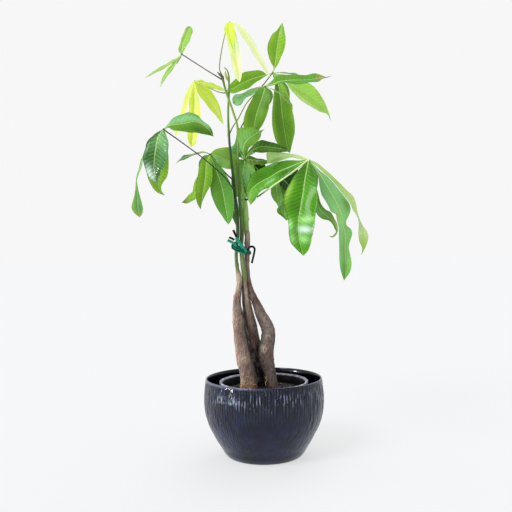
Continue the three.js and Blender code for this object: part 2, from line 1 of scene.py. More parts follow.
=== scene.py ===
"""Potted money tree, dressed: finer meshes and procedural finishes on the fixed frame."""

import logging
import math
import random
from collections.abc import Callable, Sequence
from dataclasses import dataclass, replace
from enum import Enum

import bpy
import numpy as np
from mathutils import Matrix, Vector, noise


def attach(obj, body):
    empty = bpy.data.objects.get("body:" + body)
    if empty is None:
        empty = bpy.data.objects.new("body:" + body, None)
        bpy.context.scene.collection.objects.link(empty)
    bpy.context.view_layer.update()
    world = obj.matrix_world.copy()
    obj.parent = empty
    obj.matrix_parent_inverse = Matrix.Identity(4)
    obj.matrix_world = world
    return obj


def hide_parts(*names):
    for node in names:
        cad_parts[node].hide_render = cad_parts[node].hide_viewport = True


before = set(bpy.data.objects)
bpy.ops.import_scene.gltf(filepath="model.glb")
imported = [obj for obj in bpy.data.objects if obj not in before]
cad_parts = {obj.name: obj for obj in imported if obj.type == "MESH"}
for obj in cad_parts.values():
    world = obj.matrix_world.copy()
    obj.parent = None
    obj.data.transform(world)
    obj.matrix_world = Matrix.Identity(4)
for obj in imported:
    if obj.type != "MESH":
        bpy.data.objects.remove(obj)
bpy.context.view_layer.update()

LOG = logging.getLogger("money_tree")
MM = 0.001
BODY = "root"
LEAST_RADIUS = 0.15

Pair = tuple[float, float]
Point = tuple[float, float, float]
Station = tuple[float, float, float, float]
Colour = tuple[float, float, float]
Tones = tuple[tuple[float, Colour], ...]
Material = bpy.types.Material


def paint(red: int, green: int, blue: int) -> Colour:
    """Turns a display colour into the linear light that shaders use.

    Args:
        red: Red from 0 to 255.
        green: Green from 0 to 255.
        blue: Blue from 0 to 255.

    Returns:
        The linear red, green and blue, from 0 to 1.
    """
    def linear(level: int) -> float:
        """One channel, by the display curve."""
        share = level / 255
        return share / 12.92 if share <= 0.04045 else ((share + 0.055) / 1.055) ** 2.4

    return (linear(red), linear(green), linear(blue))


def ease(low: float, high: float, value: np.ndarray | float) -> np.ndarray | float:
    """A smooth step from 0 at low to 1 at high."""
    share = np.clip((value - low) / (high - low), 0.0, 1.0)
    return share * share * (3 - 2 * share)


def around(count: int) -> np.ndarray:
    """Evenly spaced angles of a full turn."""
    return 2 * math.pi * np.arange(count) / count


def unit(rows: np.ndarray) -> np.ndarray:
    """The rows, each brought to length 1."""
    return rows / np.linalg.norm(rows, axis=1)[:, None]


def smooth_line(stations: Sequence[Sequence[float]], count: int) -> np.ndarray:
    """Draws a smooth line through stations, evenly spaced along its length.

    Args:
        stations: Rows of x, y, z and any further values that go with them.
        count: How many rows to give back.

    Returns:
        The rows of the smooth line.
    """
    rows = np.asarray(stations, dtype=float)
    marks = np.concatenate(([0.0], np.cumsum(np.linalg.norm(np.diff(rows[:, :3], axis=0), axis=1))))
    slopes = np.gradient(rows, marks, axis=0)
    at = np.linspace(0.0, marks[-1], count)
    low = np.clip(np.searchsorted(marks, at, side="right") - 1, 0, len(rows) - 2)
    span = (marks[low + 1] - marks[low])[:, None]
    t = (at - marks[low])[:, None] / span
    start = (2 * t**3 - 3 * t**2 + 1) * rows[low] + (t**3 - 2 * t**2 + t) * span * slopes[low]
    end = (3 * t**2 - 2 * t**3) * rows[low + 1] + (t**3 - t**2) * span * slopes[low + 1]
    return start + end


def tone_along(stops: Tones, at: np.ndarray) -> np.ndarray:
    """Reads the colours at some places between stops, which are in rising order."""
    places = [place for place, _ in stops]
    return np.column_stack([np.interp(at, places, [tone[k] for _, tone in stops]) for k in range(3)])


def lumps(x: float, y: float, z: float) -> float:
    """Soft noise between about -1 and 1."""
    return noise.noise(Vector((x, y, z)))


def rings_along(line: np.ndarray, sides: int, swell: Callable | None = None) -> np.ndarray:
    """Lays rings of points along a line.

    Args:
        line: Rows of x, y, z and radius in mm.
        sides: The points in a ring.
        swell: What multiplies the radius, by the line's row and by the ring's angles.

    Returns:
        The points, ring after ring.
    """
    angles = around(sides)
    across = np.array([1.0, 0.0, 0.0])
    rings = []
    for i, direction in enumerate(unit(np.gradient(line[:, :3], axis=0))):
        across = across - direction * across.dot(direction)
        across /= np.linalg.norm(across)
        up = np.cross(direction, across)
        radius = line[i, 3] * (swell(line[i], angles) if swell else np.ones(sides))
        circle = np.cos(angles)[:, None] * across + np.sin(angles)[:, None] * up
        rings.append(line[i, :3] + radius[:, None] * circle)
    return np.concatenate(rings)


@dataclass(frozen=True)
class SightLines:
    """The eye that the front view of the plant is laid out from, in mm."""

    x: float = -10.0
    y: float = -1082.0
    z: float = 330.0

    def place(self, point: Sequence[float]) -> list[float]:
        """Carries a point of the front view along its line of sight to its own depth.

        Args:
            point: x, z and depth, then any further values.

        Returns:
            x, y and z in mm, then the further values.
        """
        x, z, depth, *rest = point
        away = (depth - self.y) / -self.y
        return [self.x + (x - self.x) * away, depth, self.z + (z - self.z) * away, *rest]

    def line(self, points: Sequence[Sequence[float]], count: int) -> np.ndarray:
        """A smooth line through points of the front view."""
        return smooth_line([self.place(point) for point in points], count)


SIGHT = SightLines()


class Value:
    """A socket of a shader that takes part in Python expressions."""

    def __init__(self, shader: "Shader", socket: bpy.types.NodeSocket) -> None:
        """Keeps the socket and the shader that it belongs to."""
        self.shader = shader
        self.socket = socket

    def __add__(self, other: "Value | float") -> "Value":
        """Sum."""
        return self.shader.calc("ADD", self, other)

    def __radd__(self, other: float) -> "Value":
        """Sum with a number first."""
        return self.shader.calc("ADD", other, self)

    def __sub__(self, other: "Value | float") -> "Value":
        """Difference."""
        return self.shader.calc("SUBTRACT", self, other)

    def __rsub__(self, other: float) -> "Value":
        """Difference from a number."""
        return self.shader.calc("SUBTRACT", other, self)

    def __mul__(self, other: "Value | float") -> "Value":
        """Product."""
        return self.shader.calc("MULTIPLY", self, other)

    def __rmul__(self, other: float) -> "Value":
        """Product with a number first."""
        return self.shader.calc("MULTIPLY", other, self)

    def __abs__(self) -> "Value":
        """Size without sign."""
        return self.shader.calc("ABSOLUTE", self)

    def ramp(self, low: float, high: float) -> "Value":
        """A smooth step.

        Args:
            low: Where it is 0.
            high: Where it is 1, which may also be the smaller of the two.

        Returns:
            The step, from 0 to 1.
        """
        inputs = {"Value": self, "From Min": low, "From Max": high}
        if low > high:
            inputs.update({"From Min": high, "From Max": low, "To Min": 1.0, "To Max": 0.0})
        return self.shader.node("ShaderNodeMapRange", {"interpolation_type": "SMOOTHSTEP"}, inputs)

    def wave(self) -> "Value":
        """A triangle wave: 0 at whole numbers, one half between them."""
        return self.shader.calc("PINGPONG", self, 0.5)


class Shader:
    """One material under construction, on a Principled surface."""

    def __init__(self, name: str, fixed: dict[str, float | tuple[float, ...]]) -> None:
        """Makes the material.

        Args:
            name: The material's name.
            fixed: What is the same all over the surface, by socket name.
        """
        self.material = bpy.data.materials.new(name)
        self.material.use_nodes = True
        self.tree = self.material.node_tree
        self.tree.nodes.clear()
        self.surface = self.tree.nodes.new("ShaderNodeBsdfPrincipled")
        output = self.tree.nodes.new("ShaderNodeOutputMaterial")
        self.tree.links.new(self.surface.outputs["BSDF"], output.inputs["Surface"])
        for socket, number in fixed.items():
            self.surface.inputs[socket].default_value = number

    def node(self, kind: str, settings: dict, inputs: dict, output: int | str = 0) -> Value:
        """Adds a node.

        Args:
            kind: The node's type.
            settings: Its properties, which are set first.
            inputs: Values, colours or links by socket name or index.
            output: Which output to give back.

        Returns:
            The chosen output.
        """
        made = self.tree.nodes.new(kind)
        for key, choice in settings.items():
            setattr(made, key, choice)
        for key, given in inputs.items():
            self._join(made.inputs[key], given)
        return Value(self, made.outputs[output])

    def _join(self, socket: bpy.types.NodeSocket, given: "Value | float | tuple") -> None:
        """Fills a socket.

        Args:
            socket: The socket.
            given: A value to link to it, or a constant to set.
        """
        if isinstance(given, Value):
            self.tree.links.new(given.socket, socket)
        elif socket.type == "RGBA":
            socket.default_value = (*given[:3], 1.0)
        else:
            socket.default_value = given

    def calc(self, operation: str, *operands: "Value | float") -> Value:
        """Adds a Math node."""
        return self.node("ShaderNodeMath", {"operation": operation}, dict(enumerate(operands)))

    def mix(self, share: "Value | float", first: "Value | Colour", second: "Value | Colour") -> Value:
        """Blends two colours: the first at 0, the second at 1."""
        return self.node("ShaderNodeMix", {"data_type": "RGBA"}, {0: share, 6: first, 7: second}, 2)

    def tint(self, share: "Value | float", first: "Value | Colour", second: "Value | Colour") -> Value:
        """Multiplies a colour by another, as far as the share says."""
        settings = {"data_type": "RGBA", "blend_type": "MULTIPLY"}
        return self.node("ShaderNodeMix", settings, {0: share, 6: first, 7: second}, 2)

    def place(self, stretch: Point = (1.0, 1.0, 1.0)) -> Value:
        """The point on the object in mm.

        Args:
            stretch: What each of its axes is multiplied by.

        Returns:
            The stretched point.
        """
        where = self.node("ShaderNodeTexCoord", {}, {}, "Object")
        scale = tuple(part / MM for part in stretch)
        return self.node("ShaderNodeVectorMath", {"operation": "MULTIPLY"}, {0: where, 1: scale})

    def axis(self, name: str) -> Value:
        """How far a point on the object is along an axis, in mm."""
        return self.node("ShaderNodeSeparateXYZ", {}, {0: self.place()}, name)

    def cloud(self, grain: float, detail: float, stretch: Point = (1.0, 1.0, 1.0)) -> Value:
        """Soft noise whose lumps are about grain mm across."""
        inputs = {"Vector": self.place(stretch), "Scale": 1.0 / grain, "Detail": detail}
        return self.node("ShaderNodeTexNoise", {}, inputs, "Fac")

    def cells(self, grain: float, stretch: Point = (1.0, 1.0, 1.0)) -> Value:
        """The distance inside cells that are about grain mm across."""
        inputs = {"Vector": self.place(stretch), "Scale": 1.0 / grain}
        return self.node("ShaderNodeTexVoronoi", {}, inputs, "Distance")

    def painted(self, name: str = "tone") -> Value:
        """A colour that the mesh carries."""
        return self.node("ShaderNodeAttribute", {"attribute_name": name}, {}, "Color")

    def carried(self, name: str) -> Value:
        """A number that the mesh carries."""
        return self.node("ShaderNodeAttribute", {"attribute_name": name}, {}, "Fac")

    def feed(self, name: str, value: Value) -> None:
        """Feeds one of the surface's own sockets."""
        self._join(self.surface.inputs[name], value)

    def dress(
        self, colour: Value, roughness: Value, height: Value, depth: float, strength: float
    ) -> Material:
        """Feeds the surface and raises it.

        Args:
            colour: Its colour.
            roughness: Its roughness.
            height: Its relief, from 0 to 1.
            depth: What the relief is multiplied by, in mm.
            strength: How strongly the relief shows.

        Returns:
            The finished material.
        """
        self.feed("Base Color", colour)
        self.feed("Roughness", roughness)
        inputs = {"Height": height, "Distance": depth * MM, "Strength": strength}
        self.feed("Normal", self.node("ShaderNodeBump", {}, inputs, "Normal"))
        return self.material


class MeshBuilder:
    """Points, faces and painted values of one piece, gathered in mm."""

    def __init__(self) -> None:
        """Starts empty."""
        self.points: list[np.ndarray] = []
        self.tones: list[np.ndarray] = []
        self.values: dict[str, list[np.ndarray]] = {}
        self.faces: list[tuple[int, ...]] = []
        self.flat: list[int] = []
        self.count = 0

    def add(self, points: np.ndarray, tones: np.ndarray | Colour, **values: np.ndarray | float) -> int:
        """Adds points with their colours and further numbers.

        Args:
            points: Rows of x, y and z in mm.
            tones: One colour, or a row for each point.
            values: Numbers by name, one or a row for each point.

        Returns:
            The index of the first point.
        """
        first = self.count
        number = len(points)
        self.points.append(np.asarray(points, dtype=float))
        self.tones.append(np.broadcast_to(np.asarray(tones, dtype=float), (number, 3)))
        for name in {**self.values, **values}:
            column = self.values.setdefault(name, [np.zeros(first)] if first else [])
            column.append(np.broadcast_to(np.asarray(values.get(name, 0.0), dtype=float), (number,)))
        self.count += number
        return first

    def grid(self, first: int, rows: int, columns: int, closed: bool = False, flip: bool = False) -> None:
        """Adds the faces of a grid of points.

        Args:
            first: The index of its first point.
            rows: Its rows.
            columns: Its points in a row.
            closed: Whether each row joins its own start.
            flip: Whether the faces look the other way.
        """
        for start in range(first, first + (rows - 1) * columns, columns):
            for j in range(columns if closed else columns - 1):
                a, b = start + j, start + (j + 1) % columns
                quad = (a, b, b + columns, a + columns)
                self.faces.append(quad[::-1] if flip else quad)

    def shell(
        self, points: np.ndarray, columns: int, tones: np.ndarray | Colour, **values: np.ndarray | float
    ) -> None:
        """Adds rings of points as a closed skin, with a cap at either end.

        Args:
            points: Rows of x, y and z in mm, ring after ring.
            columns: The points in a ring.
            tones: One colour, or a row for each point.
            values: Numbers by name, one or a row for each point.
        """
        first = self.add(points, tones, **values)
        self.grid(first, len(points) // columns, columns, closed=True)
        self.faces.append(tuple(range(first, first + columns))[::-1])
        self.faces.append(tuple(range(self.count - columns, self.count)))

    def tube(
        self, stations: Sequence[Station], sides: int, rows: int, tones: Tones, **values: float
    ) -> None:
        """Adds a smooth round shoot with closed ends.

        Args:
            stations: x, z, depth and radius of the front view.
            sides: The points round it.
            rows: The rings along it.
            tones: Its colours from start (0) to end (1).
            values: Further numbers for its points.
        """
        line = SIGHT.line(stations, rows)
        line[:, 3] = np.maximum(line[:, 3], LEAST_RADIUS)
        colours = tone_along(tones, np.linspace(0, 1, rows)).repeat(sides, axis=0)
        self.shell(rings_along(line, sides), sides, colours, **values)

    def build(self, name: str, material: Material, slot: str, *nodes: str) -> None:
        """Makes the piece, smooth shaded, and seats it on the plant's body.

        Args:
            name: Its name.
            material: Its finish.
            slot: The name of a material slot; not used.
            nodes: The frame's nodes that it stands for.
        """
        mesh = bpy.data.meshes.new(name)
        mesh.from_pydata((np.concatenate(self.points) * MM).tolist(), [], self.faces)
        tones = np.concatenate(self.tones)
        painted = mesh.color_attributes.new(name="tone", type="FLOAT_COLOR", domain="POINT")
        painted.data.foreach_set("color", np.column_stack((tones, np.ones(len(tones)))).ravel())
        for key, columns in self.values.items():
            layer = mesh.attributes.new(name=key, type="FLOAT", domain="POINT")
            layer.data.foreach_set("value", np.concatenate(columns))
        smooth = np.ones(len(mesh.polygons), dtype=bool)
        smooth[self.flat] = False
        mesh.polygons.foreach_set("use_smooth", smooth)
        mesh.materials.append(material)
        mesh.update()
        piece = bpy.data.objects.new(name, mesh)
        bpy.context.scene.collection.objects.link(piece)
        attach(piece, BODY)
        if nodes:
            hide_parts(*nodes)
        LOG.info("%s: %d faces", name, len(mesh.polygons))


@dataclass(frozen=True)
class LeafFinish:
    """The finish of blades and leaf stalks: waxy, veined, paler beneath, with painted shade on the quilting
    and a faint painted glow.
    """

    name: str
    rib: Colour = paint(196, 226, 138)
    rib_share: float = 0.7
    vein_share: float = 0.12
    roughness: float = 0.42
    vein_relief: float = 0.6
    # How strongly the quilting between the veins is painted with shade.
    quilt_shade_amount: float = 0.3
    # A painted glow: the blade gives off a little light in its own colour.
    glow: float = 0.04
    mottle: float = 0.24
    aged: Colour = (0.66, 0.76, 0.5)
    # Painted shade colour of the quilting.
    quilt_shade_tone: Colour = (0.34, 0.5, 0.3)
    beneath: Colour = paint(190, 208, 160)

    def make(self) -> Material:
        """Builds the material.

        Returns:
            The material, with veins read from the numbers that each blade carries.
        """
        fixed = {"Specular IOR Level": 0.14, "Coat Roughness": 0.16, "IOR": 1.45}
        shader = Shader(self.name, {**fixed, "Emission Strength": self.glow})
        under = shader.carried("under")
        gloss = shader.carried("gloss")
        drift = shader.cloud(9.0, 2.0)
        between = (shader.carried("vein") + drift * 0.5).wave()
        vein = between.ramp(0.0, 0.14)
        band = between.ramp(0.1, 0.45)
        rib = abs(shader.carried("rib")).ramp(1.0, 0.35)
        patchy = shader.cloud(8.0, 3.0).ramp(0.38, 0.62)
        fine = shader.cloud(0.9, 2.0)
        body = shader.tint(drift.ramp(0.35, 0.7) * self.mottle, shader.painted(), self.aged)
        # Painted shade on the quilting between the veins, stronger on glossy blades.
        body = shader.tint(band * patchy * (gloss + 0.05) * self.quilt_shade_amount, body, self.quilt_shade_tone)
        body = shader.mix((1 - vein) * self.vein_share * (0.2 + gloss) * (0.3 + patchy), body, self.rib)
        body = shader.mix(rib * self.rib_share, body, self.rib)
        body = shader.mix(under * 0.18, body, self.beneath)
        # Painted glow: the blade gives off light in its own colour.
        shader.feed("Emission Color", body)
        shader.feed("Coat Weight", gloss * 0.5)
        rough = self.roughness + under * 0.16 - gloss * 0.2 + fine * 0.08
        height = (vein * 0.5 + band * 0.8) * (gloss + 0.1) + rib * 0.4 + fine * 0.1
        return shader.dress(body, rough, height, self.vein_relief, 0.8)


@dataclass(frozen=True)
class StemFinish:
    """Green shoots with faint lengthwise streaks and pale lenticels."""

    name: str = "stem_green"
    shade: Colour = (0.5, 0.48, 0.4)
    lenticel: Colour = paint(196, 190, 150)

    def make(self) -> Material:
        """Builds the material.

        Returns:
            The material.
        """
        shader = Shader(self.name, {"Specular IOR Level": 0.4})
        streak = shader.cloud(0.9, 4.0, (1.0, 1.0, 0.12))
        speck = shader.cells(3.2, (1.0, 1.0, 0.55)).ramp(0.22, 0.1)
        body = shader.tint(streak.ramp(0.35, 0.7) * 0.45, shader.painted(), self.shade)
        body = shader.mix(speck * 0.35, body, self.lenticel)
        return shader.dress(body, 0.45 + streak * 0.2, streak * 0.6 + speck * 0.6, 0.25, 0.8)


@dataclass(frozen=True)
class BarkFinish:
    """Smooth bark with mottling, lenticels and fine cracks."""

    name: str
    lichen: Colour = paint(146, 136, 122)
    lenticel: Colour = paint(176, 160, 142)
    shade: Colour = (0.42, 0.36, 0.34)
    warm: Colour = (0.8, 0.58, 0.52)
    crack: Colour = (0.5, 0.44, 0.42)

    def make(self) -> Material:
        """Builds the material.

        Returns:
            The material.
        """
        shader = Shader(self.name, {"Specular IOR Level": 0.3})
        patch = shader.cloud(9.0, 5.0, (1.0, 1.0, 0.5))
        streak = shader.cloud(1.6, 5.0, (1.0, 1.0, 0.16))
        grain = shader.cloud(0.8, 3.0)
        pores = shader.cells(3.4, (0.7, 0.7, 1.5)).ramp(0.3, 0.12)
        body = shader.mix(patch.ramp(0.46, 0.66) * 0.4, shader.painted(), self.lichen)
        body = shader.tint(patch.ramp(0.48, 0.34) * 0.6, body, self.warm)
        body = shader.tint(streak.ramp(0.47, 0.62) * 0.8, body, self.shade)
        body = shader.mix(pores * 0.5, body, self.lenticel)
        body = shader.tint(grain.ramp(0.52, 0.66) * 0.5, body, self.crack)
        height = streak * 0.8 + pores * 0.5 + grain * 0.4
        return shader.dress(body, 0.62 + grain * 0.3, height, 0.7, 0.9)


@dataclass(frozen=True)
class PlanterFinish:
    """Dark blue-black glaze over a wall that is hammered in upright strokes, with painted highlights and
    painted shade.

    A zone's border is a pair of places in mm, where it starts to show and where it shows in full.
    """

    name: str = "planter_shell"
    deep: Colour = paint(4, 6, 15)
    haze: Colour = paint(18, 27, 62)
    # Painted highlight colour for the stroke ridges, and below it painted shade for the stroke valleys.
    ridge: Colour = paint(66, 80, 114)
    groove_shade: Colour = paint(4, 4, 8)
    # Painted highlight colour for the glints on the upper band's ridges.
    painted_glint: Colour = paint(150, 154, 176)
    # Painted highlight colour of the gleam at the upper left of the front.
    gleam: Colour = paint(176, 194, 206)
    # Painted highlight colour along the top edge of the wall.
    lip_highlight: Colour = paint(126, 132, 148)
    # Painted shade for the hammer dents.
    hollow: Colour = (0.4, 0.42, 0.5)
    upper: Colour = (0.5, 0.4, 0.5)
    strokes: int = 132
    dark_above: Pair = (78, 104)
    lip_above: Pair = (123, 127)
    lip_right: Pair = (30, -60)
    worked_above: Pair = (64, 100)
    worked_left: Pair = (-25, -90)
    plain_foot: Pair = (10, 50)
    plain_rim: Pair = (127.6, 125)
    painted_glint_low: Pair = (88, 106)
    painted_glint_high: Pair = (123, 114)
    gleam_left: Pair = (-76, -66)
    gleam_right: Pair = (-34, -46)
    gleam_low: Pair = (99, 104)
    gleam_high: Pair = (115, 109)
    front: Pair = (0, -20)

    def make(self) -> Material:
        """Builds the material.

        Returns:
            The material.
        """
        fixed = {"Specular IOR Level": 0.2, "Specular Tint": (0.7, 0.8, 1.0, 1.0), "IOR": 1.5}
        coat = {"Coat Weight": 0.45, "Coat Roughness": 0.09, "Coat Tint": (0.8, 0.9, 1.0, 1.0)}
        shader = Shader(self.name, {**fixed, **coat})
        wall = shader.carried("wall")
        up = shader.axis("Z")
        broad = shader.cloud(34.0, 3.0)
        fine = shader.cloud(1.4, 3.0, (1.0, 1.0, 0.4))
        stroke = self._stroke(shader)
        worked = self._worked(shader)
        body = shader.mix(broad.ramp(0.35, 0.7) * 0.7 + fine * 0.15, self.deep, self.haze)
        # Painted highlight on the stroke ridges, then painted shade in their valleys.
        body = shader.mix(stroke.ramp(0.6, 1.0) * worked * 0.7, body, self.ridge)
        body = shader.mix(stroke.ramp(0.62, 0.2) * worked * 0.9, body, self.groove_shade)
        # Painted shade in the hammer dents.
        body = shader.tint(shader.carried("hollow") * 0.5, body, self.hollow)
        body = shader.tint(up.ramp(*self.dark_above) * wall * 0.8, body, self.upper)
        # Painted highlights: glints on the ridges of the upper band.
        body = shader.mix(self._painted_glints(shader, stroke) * wall * 0.75, body, self.painted_glint)
        # Painted highlight: the gleam at the upper left of the front.
        body = shader.mix(self._gleam(shader, stroke) * wall * 0.8, body, self.gleam)
        # Painted highlight along the top edge of the wall, strongest on the left.
        lip_highlight = up.ramp(*self.lip_above) * shader.axis("X").ramp(*self.lip_right)
        body = shader.mix(lip_highlight * wall * 0.6, body, self.lip_highlight)
        # The mesh's tone paints the highlight on the rim and the shade inside.
        body = shader.tint(1.0, body, shader.painted())
        return shader.dress(body, 0.24 + fine * 0.14, stroke * worked + fine * 0.04, 2.6, 1.0)

    def _stroke(self, shader: Shader) -> Value:
        """The hammer strokes round the wall.

        Args:
            shader: The material under construction.

        Returns:
            0 in the hollows, 1 on the ridges.
        """
        turn = shader.calc("ARCTAN2", shader.axis("Y"), shader.axis("X"))
        drift = shader.cloud(30.0, 2.0) * 6 + shader.cloud(5.0, 2.0, (1.0, 1.0, 0.5)) * 3
        return shader.calc("SINE", turn * self.strokes + drift) * 0.5 + 0.5

    def _worked(self, shader: Shader) -> Value:
        """How strongly the wall is hammered: most in the upper band and on the left.

        Args:
            shader: The material under construction.

        Returns:
            The strength, from 0 to 1.
        """
        up = shader.axis("Z")
        patch = shader.cloud(7.0, 2.0, (1.0, 1.0, 0.5)).ramp(0.38, 0.56)
        left = shader.axis("X").ramp(*self.worked_left) * up.ramp(*self.plain_foot)
        both = shader.calc("MAXIMUM", up.ramp(*self.worked_above), left * 0.8)
        return both * shader.carried("wall") * up.ramp(*self.plain_rim) * (0.15 + patch * 0.85)

    def _painted_glints(self, shader: Shader, stroke: Value) -> Value:
        """Painted highlights: bright glints on the ridges of the upper band.

        Args:
            shader: The material under construction.
            stroke: The hammer strokes.

        Returns:
            How strongly they show, from 0 to 1.
        """
        up = shader.axis("Z")
        painted_glint = shader.cloud(4.2, 3.0, (1.0, 1.0, 0.28)).ramp(0.5, 0.62) * stroke.ramp(0.5, 0.9)
        return painted_glint * up.ramp(*self.painted_glint_low) * up.ramp(*self.painted_glint_high)

    def _gleam(self, shader: Shader, stroke: Value) -> Value:
        """The painted highlight: a pale gleam at the upper left of the front.

        Args:
            shader: The material under construction.
            stroke: The hammer strokes.

        Returns:
            How strongly it shows, from 0 to 1.
        """
        across, deep, up = (shader.axis(name) for name in "XYZ")
        wide = across.ramp(*self.gleam_left) * across.ramp(*self.gleam_right) * deep.ramp(*self.front)
        high = up.ramp(*self.gleam_low) * up.ramp(*self.gleam_high)
        broken = shader.cloud(5.0, 3.0, (1.0, 1.0, 0.6)).ramp(0.44, 0.58) * (0.3 + stroke * 0.7)
        return wide * high * broken


@dataclass(frozen=True)
class PlasticFinish:
    """Moulded plastic with a faint grain."""

    name: str = "nursery_plastic"
    colour: Colour = paint(12, 12, 15)
    dust: Colour = paint(96, 94, 98)

    def make(self) -> Material:
        """Builds the material.

        Returns:
            The material.
        """
        shader = Shader(self.name, {"Specular IOR Level": 0.08})
        grain = shader.cloud(0.7, 3.0)
        body = shader.mix(shader.cloud(12.0, 4.0).ramp(0.45, 0.75) * 0.06, self.colour, self.dust)
        body = shader.tint(1.0, body, shader.painted())
        return shader.dress(body, 0.4 + grain * 0.15, grain, 0.12, 0.6)


@dataclass(frozen=True)
class SoilFinish:
    """Damp potting mix: dark crumbs with paler fibres."""

    name: str = "potting_soil"
    clod: Colour = paint(38, 28, 24)
    fibre: Colour = paint(120, 92, 64)

    def make(self) -> Material:
        """Builds the material.

        Returns:
            The material.
        """
        shader = Shader(self.name, {"Specular IOR Level": 0.3})
        crumb = shader.cells(2.2)
        clod = shader.cloud(7.0, 5.0)
        fibre = shader.cloud(1.0, 4.0, (0.3, 1.6, 1.0)).ramp(0.62, 0.74)
        body = shader.mix(clod.ramp(0.35, 0.7) * 0.6, shader.painted(), self.clod)
        body = shader.mix(fibre * 0.5, body, self.fibre)
        return shader.dress(body, 0.75 + crumb * 0.2, crumb * 0.6 + clod * 0.6, 1.6, 1.0)


@dataclass(frozen=True)
class FilmFinish:
    """Plastic film over a wire, pressed with lengthwise lines."""

    name: str = "tie_film"
    fold: Colour = (0.2, 0.34, 0.36)

    def make(self) -> Material:
        """Builds the material.

        Returns:
            The material.
        """
        shader = Shader(self.name, {"Specular IOR Level": 0.12, "Coat Weight": 0.08, "Coat Roughness": 0.2})
        grain = shader.cloud(0.8, 3.0)
        crease = shader.cloud(2.2, 4.0, (1.0, 1.0, 0.5)).ramp(0.45, 0.65)
        body = shader.tint(crease * 0.6, shader.painted(), self.fold)
        return shader.dress(body, 0.34 + grain * 0.2, crease * 0.6 + grain * 0.4, 0.25, 0.8)


class LeafColour(Enum):
    """The tones of the blades, as they look in this light."""

    PALE_LEMON = (234, 244, 186)
    LEMON = (222, 236, 112)
    YELLOW = (216, 230, 76)
    LIME = (204, 230, 84)
    CITRON = (192, 220, 66)
    FRESH = (166, 208, 88)
    PALE_FRESH = (198, 224, 150)
    SPRING = (152, 202, 86)
    SOFT = (138, 180, 80)
    APPLE = (130, 178, 52)
    GRASS = (114, 164, 42)
    MEADOW = (118, 170, 76)
    OLIVE = (98, 146, 42)
    MOSS = (88, 132, 38)
    DARK = (60, 112, 26)
    DEEP = (38, 84, 22)
    SHADE = (30, 74, 20)
    MINT = (160, 224, 130)
    # GLINT is a painted highlight: a pale gloss spot painted onto a blade.
    GLINT = (224, 250, 236)
    SAGE = (132, 190, 122)
    JADE = (104, 168, 92)
    PINE = (78, 132, 78)
    SLATE = (84, 122, 72)
    BRIGHT = (76, 146, 16)
    VIVID = (94, 154, 62)
    BROWN = (176, 146, 92)
    TAN = (128, 116, 88)
    DARK_TIP = (46, 70, 34)
    BROWN_TIP = (110, 92, 60)

    def base(self) -> np.ndarray:
        """The linear base colour, with the sheen and the strength of the light taken off."""
        sheen, light, least = 0.006, 0.96, 0.002
        return np.maximum((np.array(paint(*self.value)) - sheen) / light, least)


C = LeafColour


@dataclass(frozen=True)
class Outline:
    """A blade's two edges and midrib in the front view: runs of x and z in mm, between hub and tip."""

    one: tuple[float, ...]
    rib: tuple[float, ...]
    two: tuple[float, ...]


@dataclass(frozen=True)
class Arc:
    """A blade that is mostly hidden: how far its middle bends in x and z, and its width, in mm."""

    x: float
    z: float
    width: float
    peak: float = 0.55
    blunt: float = 1.05

    def half_widths(self, s: np.ndarray) -> np.ndarray:
        """The half widths along the blade.

        Args:
            s: Places from the hub (0) to the tip (1).

        Returns:
            The half widths in mm.
        """
        power = self.blunt * self.peak / (1 - self.peak)
        most = self.peak**power * (1 - self.peak) ** self.blunt
        return self.width / 2 * (s**power * (1 - s) ** self.blunt / most)


@dataclass(frozen=True)
class Patch:
    """A soft patch of another tone: its place along and across the blade, its size and strength."""

    s: float
    u: float
    length: float
    width: float
    tone: LeafColour
    share: float = 0.8


@dataclass(frozen=True)
class Leaflet:
    """One blade, from the hub to its tip: how far it bows back, the way it faces and its tones."""

    tip: Point
    bow: float
    face: Point
    tone: LeafColour
    shape: Outline | Arc
    fold: Pair = (16.0, 16.0)
    left: LeafColour | None = None
    right: LeafColour | None = None
    end: LeafColour | None = None
    end_from: float = 0.88
    gloss: float = 0.3
    ripple: float = 0.9
    quilt: float = 1.0
    patches: tuple[Patch, ...] = ()

    def tones(self, s: np.ndarray, u: np.ndarray) -> np.ndarray:
        """The colours over the blade.

        Args:
            s: Places along it, as a column.
            u: Places across it from -1 to 1, as a row.

        Returns:
            A grid of colours.
        """
        s, u = np.broadcast_arrays(s, u)
        colour = np.broadcast_to(self.tone.base(), (*s.shape, 3)).copy()
        seam, blur = 0.2, 0.07
        washes = [
            (self.right, ease(0.0, seam, u)),
            (self.left, ease(0.0, seam, -u)),
            (self.end, ease(self.end_from - blur, self.end_from + blur, s)),
        ]
        for patch in self.patches:
            nearness = ((s - patch.s) / patch.length) ** 2 + ((u - patch.u) / patch.width) ** 2
            washes.append((patch.tone, patch.share * np.exp(-nearness)))
        for wash, share in washes:
            if wash:
                colour += share[..., None] * (wash.base() - colour)
        return colour


@dataclass(frozen=True)
class BladeRule:
    """Sizes that all blades share, in mm; spans are shares of a blade's length."""

    rows: int = 60
    columns: int = 17
    thickness: float = 0.5
    middle_thick: float = 1.25
    edge_thin: float = 0.8
    rib_wide: float = 1.25
    rib_taper: float = 0.85
    vein_gap: float = 6.2
    vein_slant: float = 0.55
    quilt: float = 0.3
    quilt_least: float = 0.7
    quilt_grows: Pair = (2.0, 8.0)
    arch: float = 0.07
    waves: float = 3.0
    wave_lag: float = 1.7
    wave_full: float = 10.0
    stalk_half: float = 0.9
    stalk_span: float = 0.14
    tip_half: float = 0.12
    steepest: float = 1.2
    least_slope: float = 60.0
    blur: int = 4


RULE = BladeRule()


